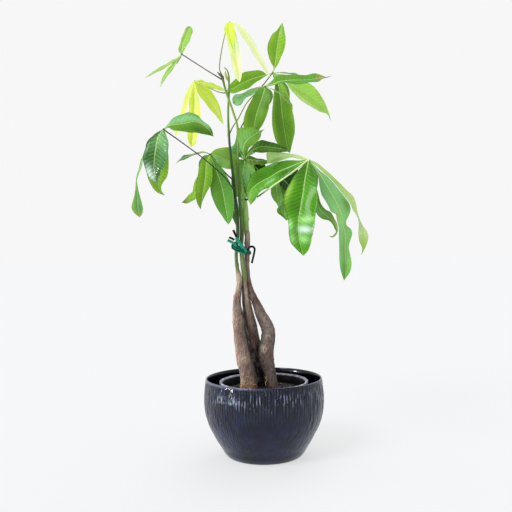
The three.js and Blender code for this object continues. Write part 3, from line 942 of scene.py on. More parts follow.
class Blade:
    """One blade under construction: its midrib, the ways across it, its edges and its skin."""

    def __init__(self, hub: Point, leaflet: Leaflet) -> None:
        """Lays out the midrib and the ways across the blade.

        Args:
            hub: Where the blades of the leaf meet.
            leaflet: The blade's layout.
        """
        self.hub = hub
        self.leaflet = leaflet
        self.s = np.linspace(0, 1, RULE.rows)
        self.spine = self._spine()
        along = unit(np.gradient(self.spine, axis=0))
        self.side = unit(np.cross(along, np.array(leaflet.face, dtype=float)))
        self.normal = np.cross(self.side, along)

    def _traced(self, run: Sequence[float]) -> np.ndarray:
        """The x and z in mm along a run of an outline, from the hub to the tip."""
        return smooth_line([self.hub[:2], *np.reshape(run, (-1, 2)), self.leaflet.tip[:2]], RULE.rows)

    def _spine(self) -> np.ndarray:
        """The midrib.

        Returns:
            Its points in mm.
        """
        shape, tip, s = self.leaflet.shape, self.leaflet.tip, self.s
        if isinstance(shape, Outline):
            depth = self.hub[2] * (1 - s) + tip[2] * s + 4 * s * (1 - s) * self.leaflet.bow
            return np.array([SIGHT.place((x, z, y)) for (x, z), y in zip(self._traced(shape.rib), depth)])
        bend = (shape.x, shape.z, self.leaflet.bow)
        middle = [(a + b) / 2 + 2 * c for a, b, c in zip(self.hub, tip, bend)]
        start, control, end = (np.array(SIGHT.place(point)) for point in (self.hub, middle, tip))
        t = s[:, None]
        return (1 - t) ** 2 * start + 2 * t * (1 - t) * control + t**2 * end

    def _edges(self) -> dict[int, np.ndarray]:
        """The blade's two edges.

        Returns:
            Their points in mm, by the side (1 or -1) that they lie on.
        """
        fold = np.radians(np.interp(self.s, [0, 1], self.leaflet.fold))[:, None]
        root = (RULE.stalk_half * (1 - ease(0.0, RULE.stalk_span, self.s)) + RULE.tip_half)[:, None]
        found = {}
        if isinstance(self.leaflet.shape, Arc):
            half = self.leaflet.shape.half_widths(self.s)[:, None]
            for hand in (1, -1):
                across = hand * (half * np.cos(fold) + root) * self.side
                found[hand] = self.spine + across + half * np.sin(fold) * self.normal
            return found
        rib = self._traced(self.leaflet.shape.rib)
        for run in (self.leaflet.shape.one, self.leaflet.shape.two):
            flat = self._traced(run)
            hand = 1 if ((flat - rib) * self.side[:, [0, 2]]).sum() > 0 else -1
            hand = -hand if hand in found else hand
            facing = self.normal * np.cos(fold) - hand * self.side * np.sin(fold)
            most = RULE.steepest * np.linalg.norm(flat - rib, axis=1)
            found[hand] = self._carried(flat, facing, most) + hand * root * self.side
        return found

    def _carried(self, flat: np.ndarray, facing: np.ndarray, most: np.ndarray) -> np.ndarray:
        """Carries an edge of the front view to the depth of its half of the blade.

        Args:
            flat: Its x and z in the front view.
            facing: The way that the half looks at each place.
            most: How far in depth it may leave the midrib.

        Returns:
            The edge's points in mm.
        """
        eye = np.array([SIGHT.x, SIGHT.y, SIGHT.z])
        sight = np.column_stack((flat[:, 0], np.zeros(RULE.rows), flat[:, 1])) - eye
        slope = (sight * facing).sum(axis=1)
        slope = np.copysign(np.maximum(np.abs(slope), RULE.least_slope), slope)
        depth = eye[1] + ((self.spine - eye) * facing).sum(axis=1) / slope * sight[:, 1]
        lean = np.clip(depth - self.spine[:, 1], -most, most)
        window = 2 * RULE.blur + 1
        lean = np.convolve(np.pad(lean, RULE.blur, mode="edge"), np.ones(window) / window, "valid")
        depth = self.spine[:, 1] + np.clip(lean, -most, most)
        return eye + sight * ((depth - eye[1]) / sight[:, 1])[:, None]

    def add_to(self, builder: MeshBuilder, turn: float) -> None:
        """Adds the blade with its upper and under side.

        Args:
            builder: What gathers the mesh.
            turn: A number that sets its waves apart from its neighbours'.
        """
        edges = self._edges()
        s = self.s[:, None]
        u = np.linspace(-1, 1, RULE.columns)[None, :]
        edge = np.abs(u)
        one, other = ((edges[hand] - self.spine)[:, None] for hand in (1, -1))
        arms = np.where(u[..., None] > 0, one, other)
        half = np.linalg.norm(arms, axis=2)
        length = np.linalg.norm(np.diff(self.spine, axis=0), axis=1).sum()
        mark = (s * length - RULE.vein_slant * edge * half) / RULE.vein_gap
        quilt = RULE.quilt * self.leaflet.quilt * (RULE.quilt_least + self.leaflet.gloss)
        quilt = quilt * np.sin(math.pi * mark) ** 2 * edge * (1 - edge**4) * ease(*RULE.quilt_grows, half)
        swing = np.sin(2 * math.pi * RULE.waves * s + turn + RULE.wave_lag * np.sign(u))
        wave = self.leaflet.ripple * swing * edge**2.5 * np.minimum(half / RULE.wave_full, 1)
        lift = quilt + wave + 4 * RULE.arch * half * edge * (1 - edge)
        normal = self.normal[:, None, :]
        sheet = self.spine[:, None, :] + edge[..., None] * arms + lift[..., None] * normal
        thick = (RULE.thickness / 2 * (RULE.middle_thick - RULE.edge_thin * edge))[..., None] * normal
        tones = self.leaflet.tones(s, u).reshape(-1, 3)
        rib = (u * half / (RULE.rib_wide - RULE.rib_taper * s)).ravel()
        shared = {"vein": mark.ravel(), "rib": rib, "gloss": self.leaflet.gloss}
        top = builder.add((sheet + thick).reshape(-1, 3), tones, under=0.0, **shared)
        low = builder.add((sheet - thick).reshape(-1, 3), tones, under=1.0, **shared)
        builder.grid(top, RULE.rows, RULE.columns, flip=True)
        builder.grid(low, RULE.rows, RULE.columns)
        self._close_rim(builder, top, low)

    def _close_rim(self, builder: MeshBuilder, top: int, low: int) -> None:
        """Joins the upper and under side round the blade's rim.

        Args:
            builder: What gathers the mesh.
            top: The index of the upper side's first point.
            low: The index of the under side's first point.
        """
        columns = RULE.columns
        start = len(builder.faces)
        last = (RULE.rows - 1) * columns
        for a in range(0, last, columns):
            b = a + columns
            builder.faces.append((top + a, top + b, low + b, low + a))
            a, b = b - 1, b + columns - 1
            builder.faces.append((top + b, top + a, low + a, low + b))
        for j in range(columns - 1):
            builder.faces.append((top + j + 1, top + j, low + j, low + j + 1))
            builder.faces.append((top + last + j, top + last + j + 1, low + last + j + 1, low + last + j))
        builder.flat.extend(range(start, len(builder.faces)))


@dataclass(frozen=True)
class CompoundLeaf:
    """A hand-shaped leaf: a long stalk, a hub and its leaflets."""

    name: str
    slot: str
    stalk: tuple[Point, ...]
    stalk_radius: float
    leaflets: tuple[Leaflet, ...]
    stalk_tones: Tones = ((0, paint(84, 124, 44)), (1, paint(108, 142, 60)))
    reach: float = 0.0
    foot_swell: float = 0.35
    hub_swell: float = 0.15
    hub_radius: float = 1.9
    hub_rings: int = 10
    hub_ends: float = 0.98
    stalk_sides: int = 12
    stalk_rows: int = 48
    turn: float = 1.9

    def led(self, point: Point, share: float) -> Point:
        """The point moved back by the leaf's reach, as far as the share says."""
        return (point[0], point[1], point[2] + self.reach * share)

    def build(self, material: Material) -> None:
        """Makes the leaf in place of its node.

        Args:
            material: The blades' finish.
        """
        builder = MeshBuilder()
        last = len(self.stalk) - 1
        hub = self.led(self.stalk[-1], 1.0)
        plain = {"under": 0.0, "gloss": 0.2, "rib": 9.0, "vein": 0.5}
        stations = []
        for i, point in enumerate(self.stalk):
            swell = 1.0 + self.foot_swell * (i == 0) + self.hub_swell * (i == last)
            stations.append((*self.led(point, i / last), self.stalk_radius * swell))
        builder.tube(stations, self.stalk_sides, self.stalk_rows, self.stalk_tones, **plain)
        builder.shell(self._knuckle(hub), self.hub_rings, self.stalk_tones[-1][1], **plain)
        for index, leaflet in enumerate(self.leaflets):
            led = replace(leaflet, tip=self.led(leaflet.tip, 1.0))
            Blade(hub, led).add_to(builder, self.turn * index)
        builder.build(self.name, material, self.slot, self.name)

    def _knuckle(self, hub: Point) -> np.ndarray:
        """The small ball that the leaflets grow from.

        Args:
            hub: Its middle in the front view.

        Returns:
            Its points in mm, ring after ring.
        """
        points = []
        for height in np.linspace(-self.hub_ends, self.hub_ends, self.hub_rings):
            wide = math.sqrt(1 - height**2)
            points += [(wide * math.cos(a), wide * math.sin(a), height) for a in around(self.hub_rings)]
        return np.array(SIGHT.place(hub)) + self.hub_radius * np.array(points)


LEAVES: tuple[CompoundLeaf, ...] = (
    CompoundLeaf(
        "leaf_top_left", "leaf_fresh",
        ((-61, 624, -6), (-82, 637, -6), (-105, 652, -6), (-129, 668, -5)), 1, (
        Leaflet((-113, 714, 0), -3, (-0.3, -1, 0.3), C.SOFT, Outline(
            (-134, 674, -133, 682, -129.5, 692, -126, 702, -122, 710, -117, 714.5),
            (-128, 680, -123, 695, -117, 708),
            (-125, 675, -119, 684, -114, 694, -111, 703, -110.5, 709))),
        Leaflet((-191, 629, 5), 0, (-0.1, -0.65, 0.8), C.SOFT, Outline(
            (-137, 662, -146, 658, -156, 652, -167, 646, -177, 640),
            (-145, 656, -165, 644, -180, 636),
            (-136, 660, -146, 653, -156, 646, -166, 641, -176, 636))),
        Leaflet((-166, 613, -22), -6, (-0.5, -0.8, 0.5), C.SOFT, Outline(
            (-139, 656, -149, 648, -156, 640, -161, 631, -164, 622),
            (-141, 650, -152, 638, -160, 626),
            (-135, 660, -140, 650, -146, 641, -153, 632, -160, 623))),
        Leaflet((-152, 642, 40), 0, (0, -0.3, 1), C.SOFT, Arc(2, -1, 10)),
    ), stalk_tones=((0, paint(64, 60, 44)), (0.3, paint(98, 84, 78)), (1, paint(116, 104, 92))), reach=30),
    CompoundLeaf(
        "leaf_top", "leaf_lime",
        ((-62, 631, -5), (-66, 640, -6), (-65.5, 656, -6), (-62, 676, -7), (-57, 698, -6),
        (-49, 720, -8)), 0.9, (
        Leaflet((-44, 674, -20), -4, (-0.3, -1, 0.1), C.CITRON, Outline(
            (-54, 718, -57, 712, -57, 705, -53, 696, -49, 686, -46, 679),
            (-49, 710, -47, 697, -45, 685),
            (-43, 718, -40.5, 710, -40, 699, -41, 689, -43, 681)),
            patches=(Patch(0.5, -0.2, 0.3, 0.35, C.LIME, 0.5), Patch(0.92, 0, 0.16, 0.8, C.APPLE))),
        Leaflet((-33, 620, -14), 0, (0.1, -1, 0), C.PALE_LEMON, Outline(
            (-50, 705, -50.5, 690, -49, 671, -46, 655, -43, 638, -38, 625),
            (-43, 700, -40, 675, -37, 650, -34, 632),
            (-41, 708, -36, 692, -32.5, 676, -30.5, 660, -29.5, 643, -30.5, 628)),
            patches=(Patch(0.45, 0.6, 0.4, 0.3, C.LEMON), Patch(0.8, 0.1, 0.25, 0.3, C.LEMON))),
        Leaflet((17, 628, 0), 0, (0.3, -0.9, 0.3), C.PALE_LEMON, Outline(
            (-39, 714, -32, 703.5, -24, 690, -13.5, 672.5, -4, 657, 6, 642),
            (-33, 711, -20, 694, -7, 674, 5, 652),
            (-36, 717.5, -28, 712, -18, 701, -9, 688, -1, 673, 7, 656, 13, 643)),
            patches=(Patch(0.25, 0, 0.2, 1, C.LEMON, 0.3), Patch(1, 0, 0.3, 1, C.PALE_LEMON))),
        Leaflet((-40, 652, 25), 4, (0, 0.8, 0.5), C.PALE_LEMON, Arc(-2, 6, 14)),
    ), stalk_tones=((0, paint(112, 124, 64)),
    (0.6, paint(140, 148, 92)), (1, paint(200, 212, 110))), reach=-10),
    CompoundLeaf(
        "leaf_upper_left", "leaf_lime",
        ((-51.8, 603, -1), (-64, 603, 8), (-86, 612, 19), (-108, 623, 22)), 1, (
        Leaflet((-141, 531, 25), 4, (-0.3, -1, 0.2), C.LEMON, Outline(
            (-115, 616, -121, 606, -125, 595, -129, 582, -134, 566, -141, 548, -143, 538),
            (-117, 602, -124, 580, -133, 555),
            (-114, 607, -118, 592, -122, 575, -128, 556, -135, 541))),
        Leaflet((-115, 513, 10), 0, (0, -1, 0.1), C.LEMON, Outline(
            (-112, 606, -115.5, 588, -118, 572, -120.5, 555, -121, 537, -120.5, 526, -118, 517.5),
            (-108.5, 600, -109, 575, -110.5, 548, -112.5, 528),
            (-105, 607, -102, 594, -99.5, 580, -99, 565, -101, 549, -104, 535, -107, 523, -110.5, 516.5)),
            right=C.YELLOW, patches=(Patch(0.97, 0, 0.05, 1, C.CITRON),)),
        Leaflet((-61.5, 550, 25), 0, (0.4, -0.8, 0.4), C.LIME, Outline(
            (-104, 606, -98, 595.5, -90, 584.5, -82, 575, -74, 564.5, -68, 557.5),
            (-96, 608, -85, 593, -76, 577, -68, 562),
            (-97, 617, -88, 612, -79.5, 604, -73, 594, -68, 582, -64, 568)),
            patches=(Patch(0.25, 0, 0.22, 1, C.CITRON, 0.4), Patch(0.85, 0, 0.2, 1, C.LEMON))),
        Leaflet((-57, 606, 40), 4, (0, -0.7, 0.9), C.LIME, Outline(
            (-99, 624.5, -89, 622, -76, 618, -66, 613.5),
            (-90, 618, -74, 613.5),
            (-98, 616, -88, 612.5, -78, 609.5, -68, 607.5))),
        Leaflet((-113, 556, 68), 4, (0, 0.3, 1), C.LEMON, Arc(0, 6, 15)),
    ), stalk_tones=((0, paint(92, 104, 54)),
    (0.4, paint(120, 128, 90)), (1, paint(206, 220, 90))), reach=35),
    CompoundLeaf(
        "leaf_left", "leaf_deep",
        ((-45, 437, -8), (-46.4, 441, -24), (-52, 451, -31), (-60, 461.5, -36), (-75, 476, -40),
        (-93, 492, -42), (-125, 516.5, -42), (-161, 543, -42)), 0.9, (
        Leaflet((-78, 530, -49), 0, (0, -0.9, 0.5), C.OLIVE, Outline(
            (-155, 550, -151, 555, -146, 560, -139, 565, -130, 568.5, -120, 570.5, -111, 568.5, -102, 564.5,
            -97, 558, -91, 553, -85, 548, -80, 539),
            (-153, 548.5, -141, 550.5, -130, 551.5, -120, 553.5, -111, 555, -102, 553, -94, 548, -86, 541),
            (-153, 546, -146, 542.5, -138, 540, -125, 539, -112, 537, -101, 535.5, -91, 534, -84, 532)),
            left=C.SAGE, end=C.DARK, end_from=0.86, gloss=0.08, quilt=0.3,
            patches=(Patch(0.5, -0.9, 0.3, 0.3, C.PINE, 0.6), Patch(0.6, 0.7, 0.3, 0.45, C.DARK, 0.85))),
        Leaflet((-174, 452, -56), -6, (-0.2, -1, 0.25), C.PINE, Outline(
            (-166, 539, -173, 532, -180, 527, -187, 520.5, -192, 512, -195, 502, -195.5, 492, -194, 483,
            -191, 473, -186, 463, -180, 457),
            (-170, 532, -172.5, 523, -175, 509, -177, 494, -178, 478, -177, 464),
            (-157, 534, -154, 524, -153.5, 513, -155, 501, -158, 489, -162.5, 478, -168, 468, -172, 460)),
            gloss=0.7, quilt=2.2, patches=(Patch(0.2, -0.2, 0.2, 0.8, C.SAGE),
            Patch(0.5, -0.2, 0.2, 0.5, C.DARK, 0.7), Patch(0.6, 0.6, 0.2, 0.4, C.DEEP),
            # The GLINT patches are painted highlights.
            Patch(0.78, 0.6, 0.12, 0.4, C.GLINT), Patch(0.86, 0.3, 0.07, 0.35, C.GLINT),
            Patch(0.8, -0.6, 0.12, 0.4, C.DEEP, 0.9))),
        Leaflet((-160, 433, -18), 0, (0.1, -1, 0.1), C.APPLE, Outline(
            (-175, 520, -185, 500, -191, 480, -190, 469, -187, 459, -183, 451, -178, 443, -172, 437.5, -167,
            435.5),
            (-167, 520, -170, 495, -171, 475, -171, 455, -169, 443),
            (-156, 525, -154, 505, -153.5, 490, -154, 475, -157, 463, -163, 455, -166.5, 447, -165, 439)),
            end=C.BROWN_TIP, end_from=0.975, gloss=0.2),
        Leaflet((-203, 397, -22), 0, (-0.1, -1, 0.1), C.MEADOW, Outline(
            (-176, 526, -190, 508, -199, 494, -203, 479, -207, 467, -208.5, 456, -209, 447, -211, 434, -215,
            421, -216.5, 414, -213, 406),
            (-175, 526, -188, 508, -197, 495, -201, 480, -205, 468, -207.5, 456, -207, 444, -206, 430, -206,
            415),
            (-174, 526, -186, 508, -195, 496, -199, 480, -203, 470, -206.5, 459, -205.5, 448, -202, 432,
            -198.5, 420, -197, 411, -199, 402)),
            end=C.BROWN, end_from=0.975, fold=(4, 20), gloss=0.1, quilt=0.2,
            patches=(Patch(0.4, 0, 0.18, 1.5, C.SAGE), Patch(0.78, -0.4, 0.15, 0.5, C.PINE),
            Patch(0.9, -0.4, 0.08, 0.5, C.PINE))),
        Leaflet((-176, 468, 35), 8, (-0.2, 0.5, 0.8), C.DARK, Arc(-6, 8, 32)),
    ), stalk_tones=((0, paint(40, 66, 28)), (0.4, paint(48, 46, 34)), (1, paint(66, 54, 54))), reach=-35),
    CompoundLeaf(
        "leaf_middle_left", "leaf_green",
        ((-46.2, 457, -8), (-58, 468, -10), (-70, 483, -13), (-84, 500, -15)), 1.1, (
        Leaflet((-141, 486, -5), 0, (0, -0.6, 0.8), C.SLATE, Outline(
            (-90, 504, -97, 505.5, -105, 504, -115, 501.5, -123, 500, -129, 499, -134, 494),
            (-97, 504, -109, 501.5, -120, 498, -130, 494),
            (-90, 502, -97, 503, -106, 501, -115, 498, -122, 495, -129, 491.5, -135, 490))),
        Leaflet((-132.5, 421, -8), 2, (-0.6, -0.8, 0.2), C.APPLE, Outline(
            (-95, 489, -102, 478, -105, 466, -109, 457, -112.5, 448, -115, 439, -121, 433, -127, 426),
            (-94, 480, -101, 460, -107, 442, -114, 431, -122, 426),
            (-91, 480, -96, 460, -100, 444, -104, 432, -110, 425.5, -117, 422.5, -125, 419.5)),
            end=C.BROWN_TIP, end_from=0.9),
        Leaflet((-101, 409, -22), -4, (-0.1, -1, 0.1), C.GRASS, Outline(
            (-93, 493, -100, 488, -103, 480, -104.5, 468, -107, 456, -108.5, 443, -108.5, 430, -107, 420),
            (-90, 488, -91.5, 475, -92.5, 462, -95, 447, -98, 430),
            (-81, 487, -80.5, 472, -81.5, 458, -85, 447, -90, 438, -95, 429, -99, 419)),
            end=C.DARK_TIP, end_from=0.95, patches=(Patch(0.45, 0.7, 0.35, 0.35, C.APPLE),
            Patch(0.5, -0.15, 0.4, 0.15, C.APPLE))),
        Leaflet((-55, 383, -28), 2, (-0.1, -1, 0.2), C.VIVID, Outline(
            (-85, 485, -85, 470, -85, 455, -84.5, 444, -83, 434, -79, 422, -73, 409, -67, 400, -60, 389),
            (-76.5, 480, -72, 467.5, -68, 456, -64.5, 442, -62, 429, -60, 416, -58, 403),
            (-74, 489, -65, 477, -58, 466, -52, 455, -48, 443, -46, 430, -46, 415, -47, 402, -50, 391)),
            fold=(6, 10), patches=(Patch(0.4, 0.5, 0.35, 0.4, C.OLIVE),)),
        Leaflet((-34, 484, 30), 0, (0, -1, 0.3), C.SPRING, Outline(
            (-80, 505, -74, 509, -66, 511, -58, 511.5, -50, 511, -43, 506, -37, 497),
            (-74, 498, -64, 494, -56, 490.5, -45, 487),
            (-77, 493, -70, 485, -63, 478, -56, 475.5, -49, 476, -42, 479)),
            gloss=0.15, patches=(Patch(0.25, 0.5, 0.25, 0.5, C.SAGE), Patch(0.9, 0.5, 0.2, 0.8, C.MOSS),
            Patch(0.95, -0.4, 0.1, 0.6, C.OLIVE))),
        Leaflet((-39, 374, 6), 8, (0.3, -1, 0), C.JADE, Arc(5, 4, 20, 0.6)),
        Leaflet((-96, 455, 40), 6, (0, 0.5, 0.8), C.OLIVE, Arc(0, 8, 26)),
    ), stalk_tones=((0, paint(48, 76, 32)), (1, paint(58, 82, 34)))),
    CompoundLeaf(
        "leaf_centre", "leaf_deep",
        ((-30, 433, 8), (-22, 443, 5), (-17, 463, 2), (-20, 480, 1), (-26, 491, 1)), 1.1, (
        Leaflet((7, 541, -48), -4, (-0.2, -0.9, 0.6), C.OLIVE, Outline(
            (-32, 505, -36, 518, -38.5, 530, -38, 540, -33, 544, -25, 544.5, -17, 545, -9, 543, -2, 539),
            (-29, 505, -27, 515, -19, 525.5, -10, 531.5, -2, 536),
            (-23, 501, -20, 508, -13, 515, -6, 519, -1.5, 524, 0, 529, 2, 536)),
            end=C.SLATE, end_from=0.95, patches=(Patch(0.2, -0.5, 0.2, 0.6, C.SAGE),
            Patch(0.6, -0.2, 0.2, 0.4, C.JADE, 0.5))),
        Leaflet((46, 503.5, -6), 0, (0, -0.75, 0.65), C.DARK, Outline(
            (-22, 502, -14, 513, -4, 520, 3, 523, 12, 521.5, 22, 518, 32, 514.5, 41, 511),
            (-18, 502, -8, 509, 3, 512, 15, 511, 28, 509, 38, 507),
            (-20, 499, -13, 503, -5, 503, 7, 502, 20, 501.5, 33, 501.5)),
            patches=(Patch(0.2, 0.2, 0.26, 1.2, C.MEADOW), Patch(0.5, 0.6, 0.25, 0.4, C.OLIVE),
            Patch(0.95, 0, 0.15, 1, C.DEEP))),
        Leaflet((21, 487, -8), 0, (0, -0.6, 0.8), C.MOSS, Outline(
            (-23, 497, -12, 494.5, 1, 491.5, 13, 489),
            (-14, 490, 0, 488.5, 12, 487.5),
            (-22, 486, -16, 483, -4, 482, 8, 482.5))),
        Leaflet((-33, 424, 18), 2, (-0.1, -1, 0.2), C.MEADOW, Outline(
            (-37, 491, -45, 479, -49, 464, -49, 449, -45, 436, -39, 428),
            (-28, 478, -31, 462, -33, 442),
            (-17, 490, -11, 478, -9, 464, -10, 449, -16, 437, -24, 428)),
            gloss=0.2, patches=(Patch(0.1, 0.5, 0.12, 0.6, C.DARK), Patch(0.5, -0.4, 0.3, 0.6, C.SAGE),
            Patch(0.8, 0.5, 0.12, 0.5, C.SPRING))),
        Leaflet((12, 448, 10), 4, (0.2, -0.9, 0.4), C.SHADE, Arc(2, 4, 30)),
        Leaflet((-30, 545, 14), 6, (-0.3, -0.9, 0.3), C.JADE, Outline(
            (-38, 497, -48, 505, -49.5, 511, -44, 517, -41, 524, -39.5, 533, -37, 541),
            (-34, 503, -37, 515, -36, 530),
            (-28, 505, -28, 520, -28, 535)),
            patches=(Patch(0.25, 0, 0.2, 1.5, C.PINE),)),
        Leaflet((18, 512, 60), 4, (0, 0.2, 1), C.DARK, Arc(0, 4, 28)),
    ), stalk_tones=((0, paint(66, 108, 42)), (1, paint(80, 118, 50)))),
    CompoundLeaf(
        "leaf_right", "leaf_green",
        ((-29.4, 424, 8), (-12, 426, -10), (2, 434, -30), (22, 448, -47), (50, 467, -52),
        (80, 489, -45)), 1.3, (
        Leaflet((11, 484, -30), 0, (0, 0.6, 0.8), C.PALE_FRESH, Outline(
            (70, 494, 60, 497.5, 52, 499.5, 42, 500.5, 31, 501.5, 19, 503, 12, 502),
            (60, 494, 45, 496, 28, 494),
            (70, 490, 60, 491.5, 55, 493, 48, 493, 43, 491, 36, 488.5, 26, 486, 18, 484)),
            patches=(Patch(0.85, 0, 0.25, 1.5, C.MEADOW), Patch(0.55, -0.6, 0.25, 0.5, C.MEADOW))),
        Leaflet((-18, 415, -12), 10, (-0.1, -1, 0.25), C.BRIGHT, Outline(
            (68, 488, 52, 488.5, 33, 487, 20, 484, 8, 479, -5, 472.5, -15, 465, -21, 455, -24, 443, -24,
            430),
            (62, 483, 45, 476, 30, 470, 17, 462, 3, 455, -10, 447, -18, 438, -21, 428),
            (66, 478, 50, 468, 35, 458, 20, 449, 13, 443.5, 4, 440, -4, 434, -9, 425)),
            gloss=0.35, ripple=1.4, patches=(Patch(0.2, 0, 0.14, 1.2, C.VIVID, 0.5),
            Patch(0.34, 0.6, 0.16, 0.5, C.DARK), Patch(0.34, -0.6, 0.16, 0.4, C.DEEP),
            Patch(0.56, -0.5, 0.08, 0.3, C.MINT, 0.35), Patch(0.62, 0.5, 0.12, 0.5, C.DARK),
            Patch(0.92, 0, 0.14, 1.2, C.MEADOW))),
        Leaflet((69, 329, -78), -10, (-0.15, -1, 0.15), C.BRIGHT, Outline(
            (66, 474, 56, 463, 48, 451, 42, 440, 38, 428, 37, 419, 38.5, 410, 42, 400, 44.5, 384, 46, 362,
            48, 352, 55, 343),
            (76, 470, 72.5, 452, 69, 430, 65.5, 411, 62, 391, 61, 378, 62, 361, 65, 344),
            (85, 478, 89, 467, 91.5, 450, 94, 430, 94, 420, 91, 404, 89, 388, 88, 378, 84, 361, 81, 348, 77,
            338)),
            # The MINT and GLINT stripes are painted highlights on the quilting.
            gloss=0.7, ripple=2, quilt=2.2, patches=(Patch(0.62, -0.45, 0.035, 0.5, C.MINT),
            Patch(0.72, -0.45, 0.035, 0.5, C.GLINT), Patch(0.82, -0.4, 0.04, 0.5, C.MINT),
            Patch(0.67, 0.8, 0.05, 0.3, C.MINT), Patch(0.8, 0.75, 0.05, 0.35, C.MINT),
            Patch(0.5, 0.4, 0.06, 0.7, C.DARK, 0.5), Patch(0.12, -0.6, 0.14, 0.5, C.DARK),
            Patch(0.35, 0.85, 0.12, 0.2, C.FRESH, 0.7),
            Patch(0.12, 0.6, 0.12, 0.5, C.DARK))),
        Leaflet((136, 287, -52), 0, (0.1, -1, 0.2), C.SAGE, Outline(
            (88, 478, 95, 463, 98, 444, 101, 430, 107, 420, 113, 409, 116, 402, 124, 398, 126, 388, 128.5,
            378, 128.5, 360, 129, 340, 129.5, 318, 131, 304),
            (92, 475, 104, 455, 114, 438, 123, 421, 130, 405, 134, 391, 135, 381, 138, 370, 139, 355, 138,
            338, 139, 318, 139, 302),
            (97, 472, 110, 461, 120, 450, 130, 438, 141, 424, 147, 415, 148.5, 404, 145, 394, 141, 386,
            141.5, 379, 148, 373.5, 151, 367, 148, 355, 145, 343, 147, 329, 149, 316, 146.5, 302)),
            gloss=0.15, fold=(8, 30),
            patches=(Patch(0.42, -0.75, 0.06, 0.35, C.MOSS),
            Patch(0.5, 0.8, 0.03, 0.3, C.BROWN, 0.7), Patch(0.94, 0, 0.08, 1.2, C.BRIGHT),
            Patch(0.2, 0.4, 0.14, 0.5, C.JADE), Patch(0.8, -0.3, 0.3, 1, C.MEADOW, 0.7),
            Patch(0.52, 0.4, 0.14, 0.4, C.MINT, 0.6))),
        Leaflet((165.5, 329, -18), 6, (0.3, -0.9, 0.3), C.PALE_FRESH, Outline(
            (92, 480, 104, 468, 117, 455, 130, 440, 140, 427, 148, 416, 152, 405, 158, 396, 162, 385, 162,
            374, 161.5, 360, 163, 350, 167, 341),
            (94, 481, 107, 470, 121, 456, 133, 443, 144, 431, 152, 419, 156, 407, 160.5, 394, 165, 382, 168,
            370, 169, 356, 169, 344),
            (95, 482.5, 107, 472.5, 120, 461, 132, 449, 143, 437, 153, 427, 158, 415, 160, 402, 164, 388,
            169, 377, 176, 367, 177, 354, 172, 341)),
            fold=(4, 14), end=C.FRESH, end_from=0.86, patches=(Patch(0.55, 0, 0.14, 1.2, C.PALE_FRESH),
            Patch(0.25, 0, 0.2, 1.2, C.SPRING), Patch(0.99, 0, 0.03, 1.2, C.SAGE))),
        Leaflet((112, 362, -12), 4, (0.2, -1, 0.2), C.OLIVE, Outline(
            (80, 455, 82, 430, 88, 410, 94, 397, 103, 390, 113, 387, 119, 380, 122, 373, 124, 369, 121, 364,
            117, 361),
            (85, 455, 91, 425, 99, 404, 110, 394, 119, 385, 124, 376, 125.5, 370, 122.5, 363.5, 117, 360),
            (89, 455, 95, 432, 100, 415, 107, 406, 115, 401, 121, 391, 126.5, 380, 127, 370, 123.5, 362.5,
            117, 359)),
            gloss=0.1, end=C.BROWN_TIP, end_from=0.95, patches=(Patch(0.6, 0.3, 0.1, 0.8, C.SAGE),
            Patch(0.3, 0, 0.2, 1.2, C.DARK, 0.6), Patch(0.85, -0.5, 0.12, 0.6, C.PALE_FRESH))),
        Leaflet((74, 405, 28), 8, (0.2, 0.6, 0.8), C.OLIVE, Arc(2, 10, 32)),
    ), stalk_tones=(
        # The stalk is painted dark where it runs in shade and pale where it lies in light.
        (0, paint(40, 66, 24)), (0.36, paint(50, 80, 30)),
        (0.46, paint(204, 222, 150)), (1, paint(224, 234, 184))), reach=-40),
    CompoundLeaf(
        "leaf_inner_right", "leaf_deep",
        ((-31, 450, 9), (-10, 453, 18), (10, 457, 26), (27, 460, 30)), 1, (
        Leaflet((29, 410, 10), -2, (-0.1, -1, 0.2), C.MEADOW, Outline(
            (20, 451, 16.5, 441, 17, 431, 20, 424, 25, 418),
            (26, 445, 27, 430, 28, 418),
            (31, 448, 34, 435, 36, 424, 34, 415))),
        Leaflet((42, 388, 14), 0, (0.1, -1, 0.2), C.MEADOW, Outline(
            (29, 445, 31, 430, 32, 420, 29, 412, 26, 407, 27, 402, 32, 397, 37, 393),
            (32, 445, 36, 425, 38, 410, 39, 398),
            (38, 450, 44, 438, 48, 425, 50, 410, 49, 398)),
            patches=(Patch(0.85, 0.8, 0.2, 0.4, C.DARK),)),
        Leaflet((56, 428, 24), 0, (0.4, -0.9, 0.2), C.SHADE, Outline(
            (36, 470, 47, 478, 57, 480, 63, 470, 62, 450),
            (38, 455, 48, 444),
            (31, 450, 38, 440, 46, 432))),
        Leaflet((16, 452, 82), 4, (0, 0, 1), C.DARK, Arc(0, 4, 24)),
        Leaflet((36, 476, 80), 6, (0, 0, 1), C.DARK, Arc(0, 3, 24)),
    ), reach=20),
    CompoundLeaf(
        "leaf_upper_right", "leaf_green",
        ((-52.4, 532, -5), (-46, 545, 3), (-36, 560, 13), (-22, 585, 23), (0, 608, 31), (22, 635, 35)), 1, (
        Leaflet((39.5, 718.5, 28), -4, (0, -1, 0.1), C.APPLE, Outline(
            (24, 643, 20, 651, 16, 662, 14, 673, 15, 683, 18.5, 692, 23, 700, 30, 705, 34, 711),
            (25, 643, 27, 655, 29, 670, 31, 685, 33, 698),
            (26, 642, 31, 649, 36, 660, 41, 671, 44, 683, 44.5, 692, 43, 702, 41.5, 711)),
            patches=(Patch(0.35, 0.6, 0.25, 0.5, C.APPLE),)),
        Leaflet((-55, 606, 25), 0, (0, -0.9, 0.4), C.GRASS, Outline(
            (12, 632, 8, 635.5, 1, 638.5, -7, 639.5, -16, 638.5, -25, 636, -33, 631, -41, 625, -49, 616),
            (9, 631, -6, 627, -20, 622, -33, 616, -45, 610),
            (11, 630, 0, 623.5, -9, 617, -17, 611, -27, 607, -37, 603, -46, 602)),
            patches=(Patch(0.5, -0.5, 0.3, 0.6, C.OLIVE),)),
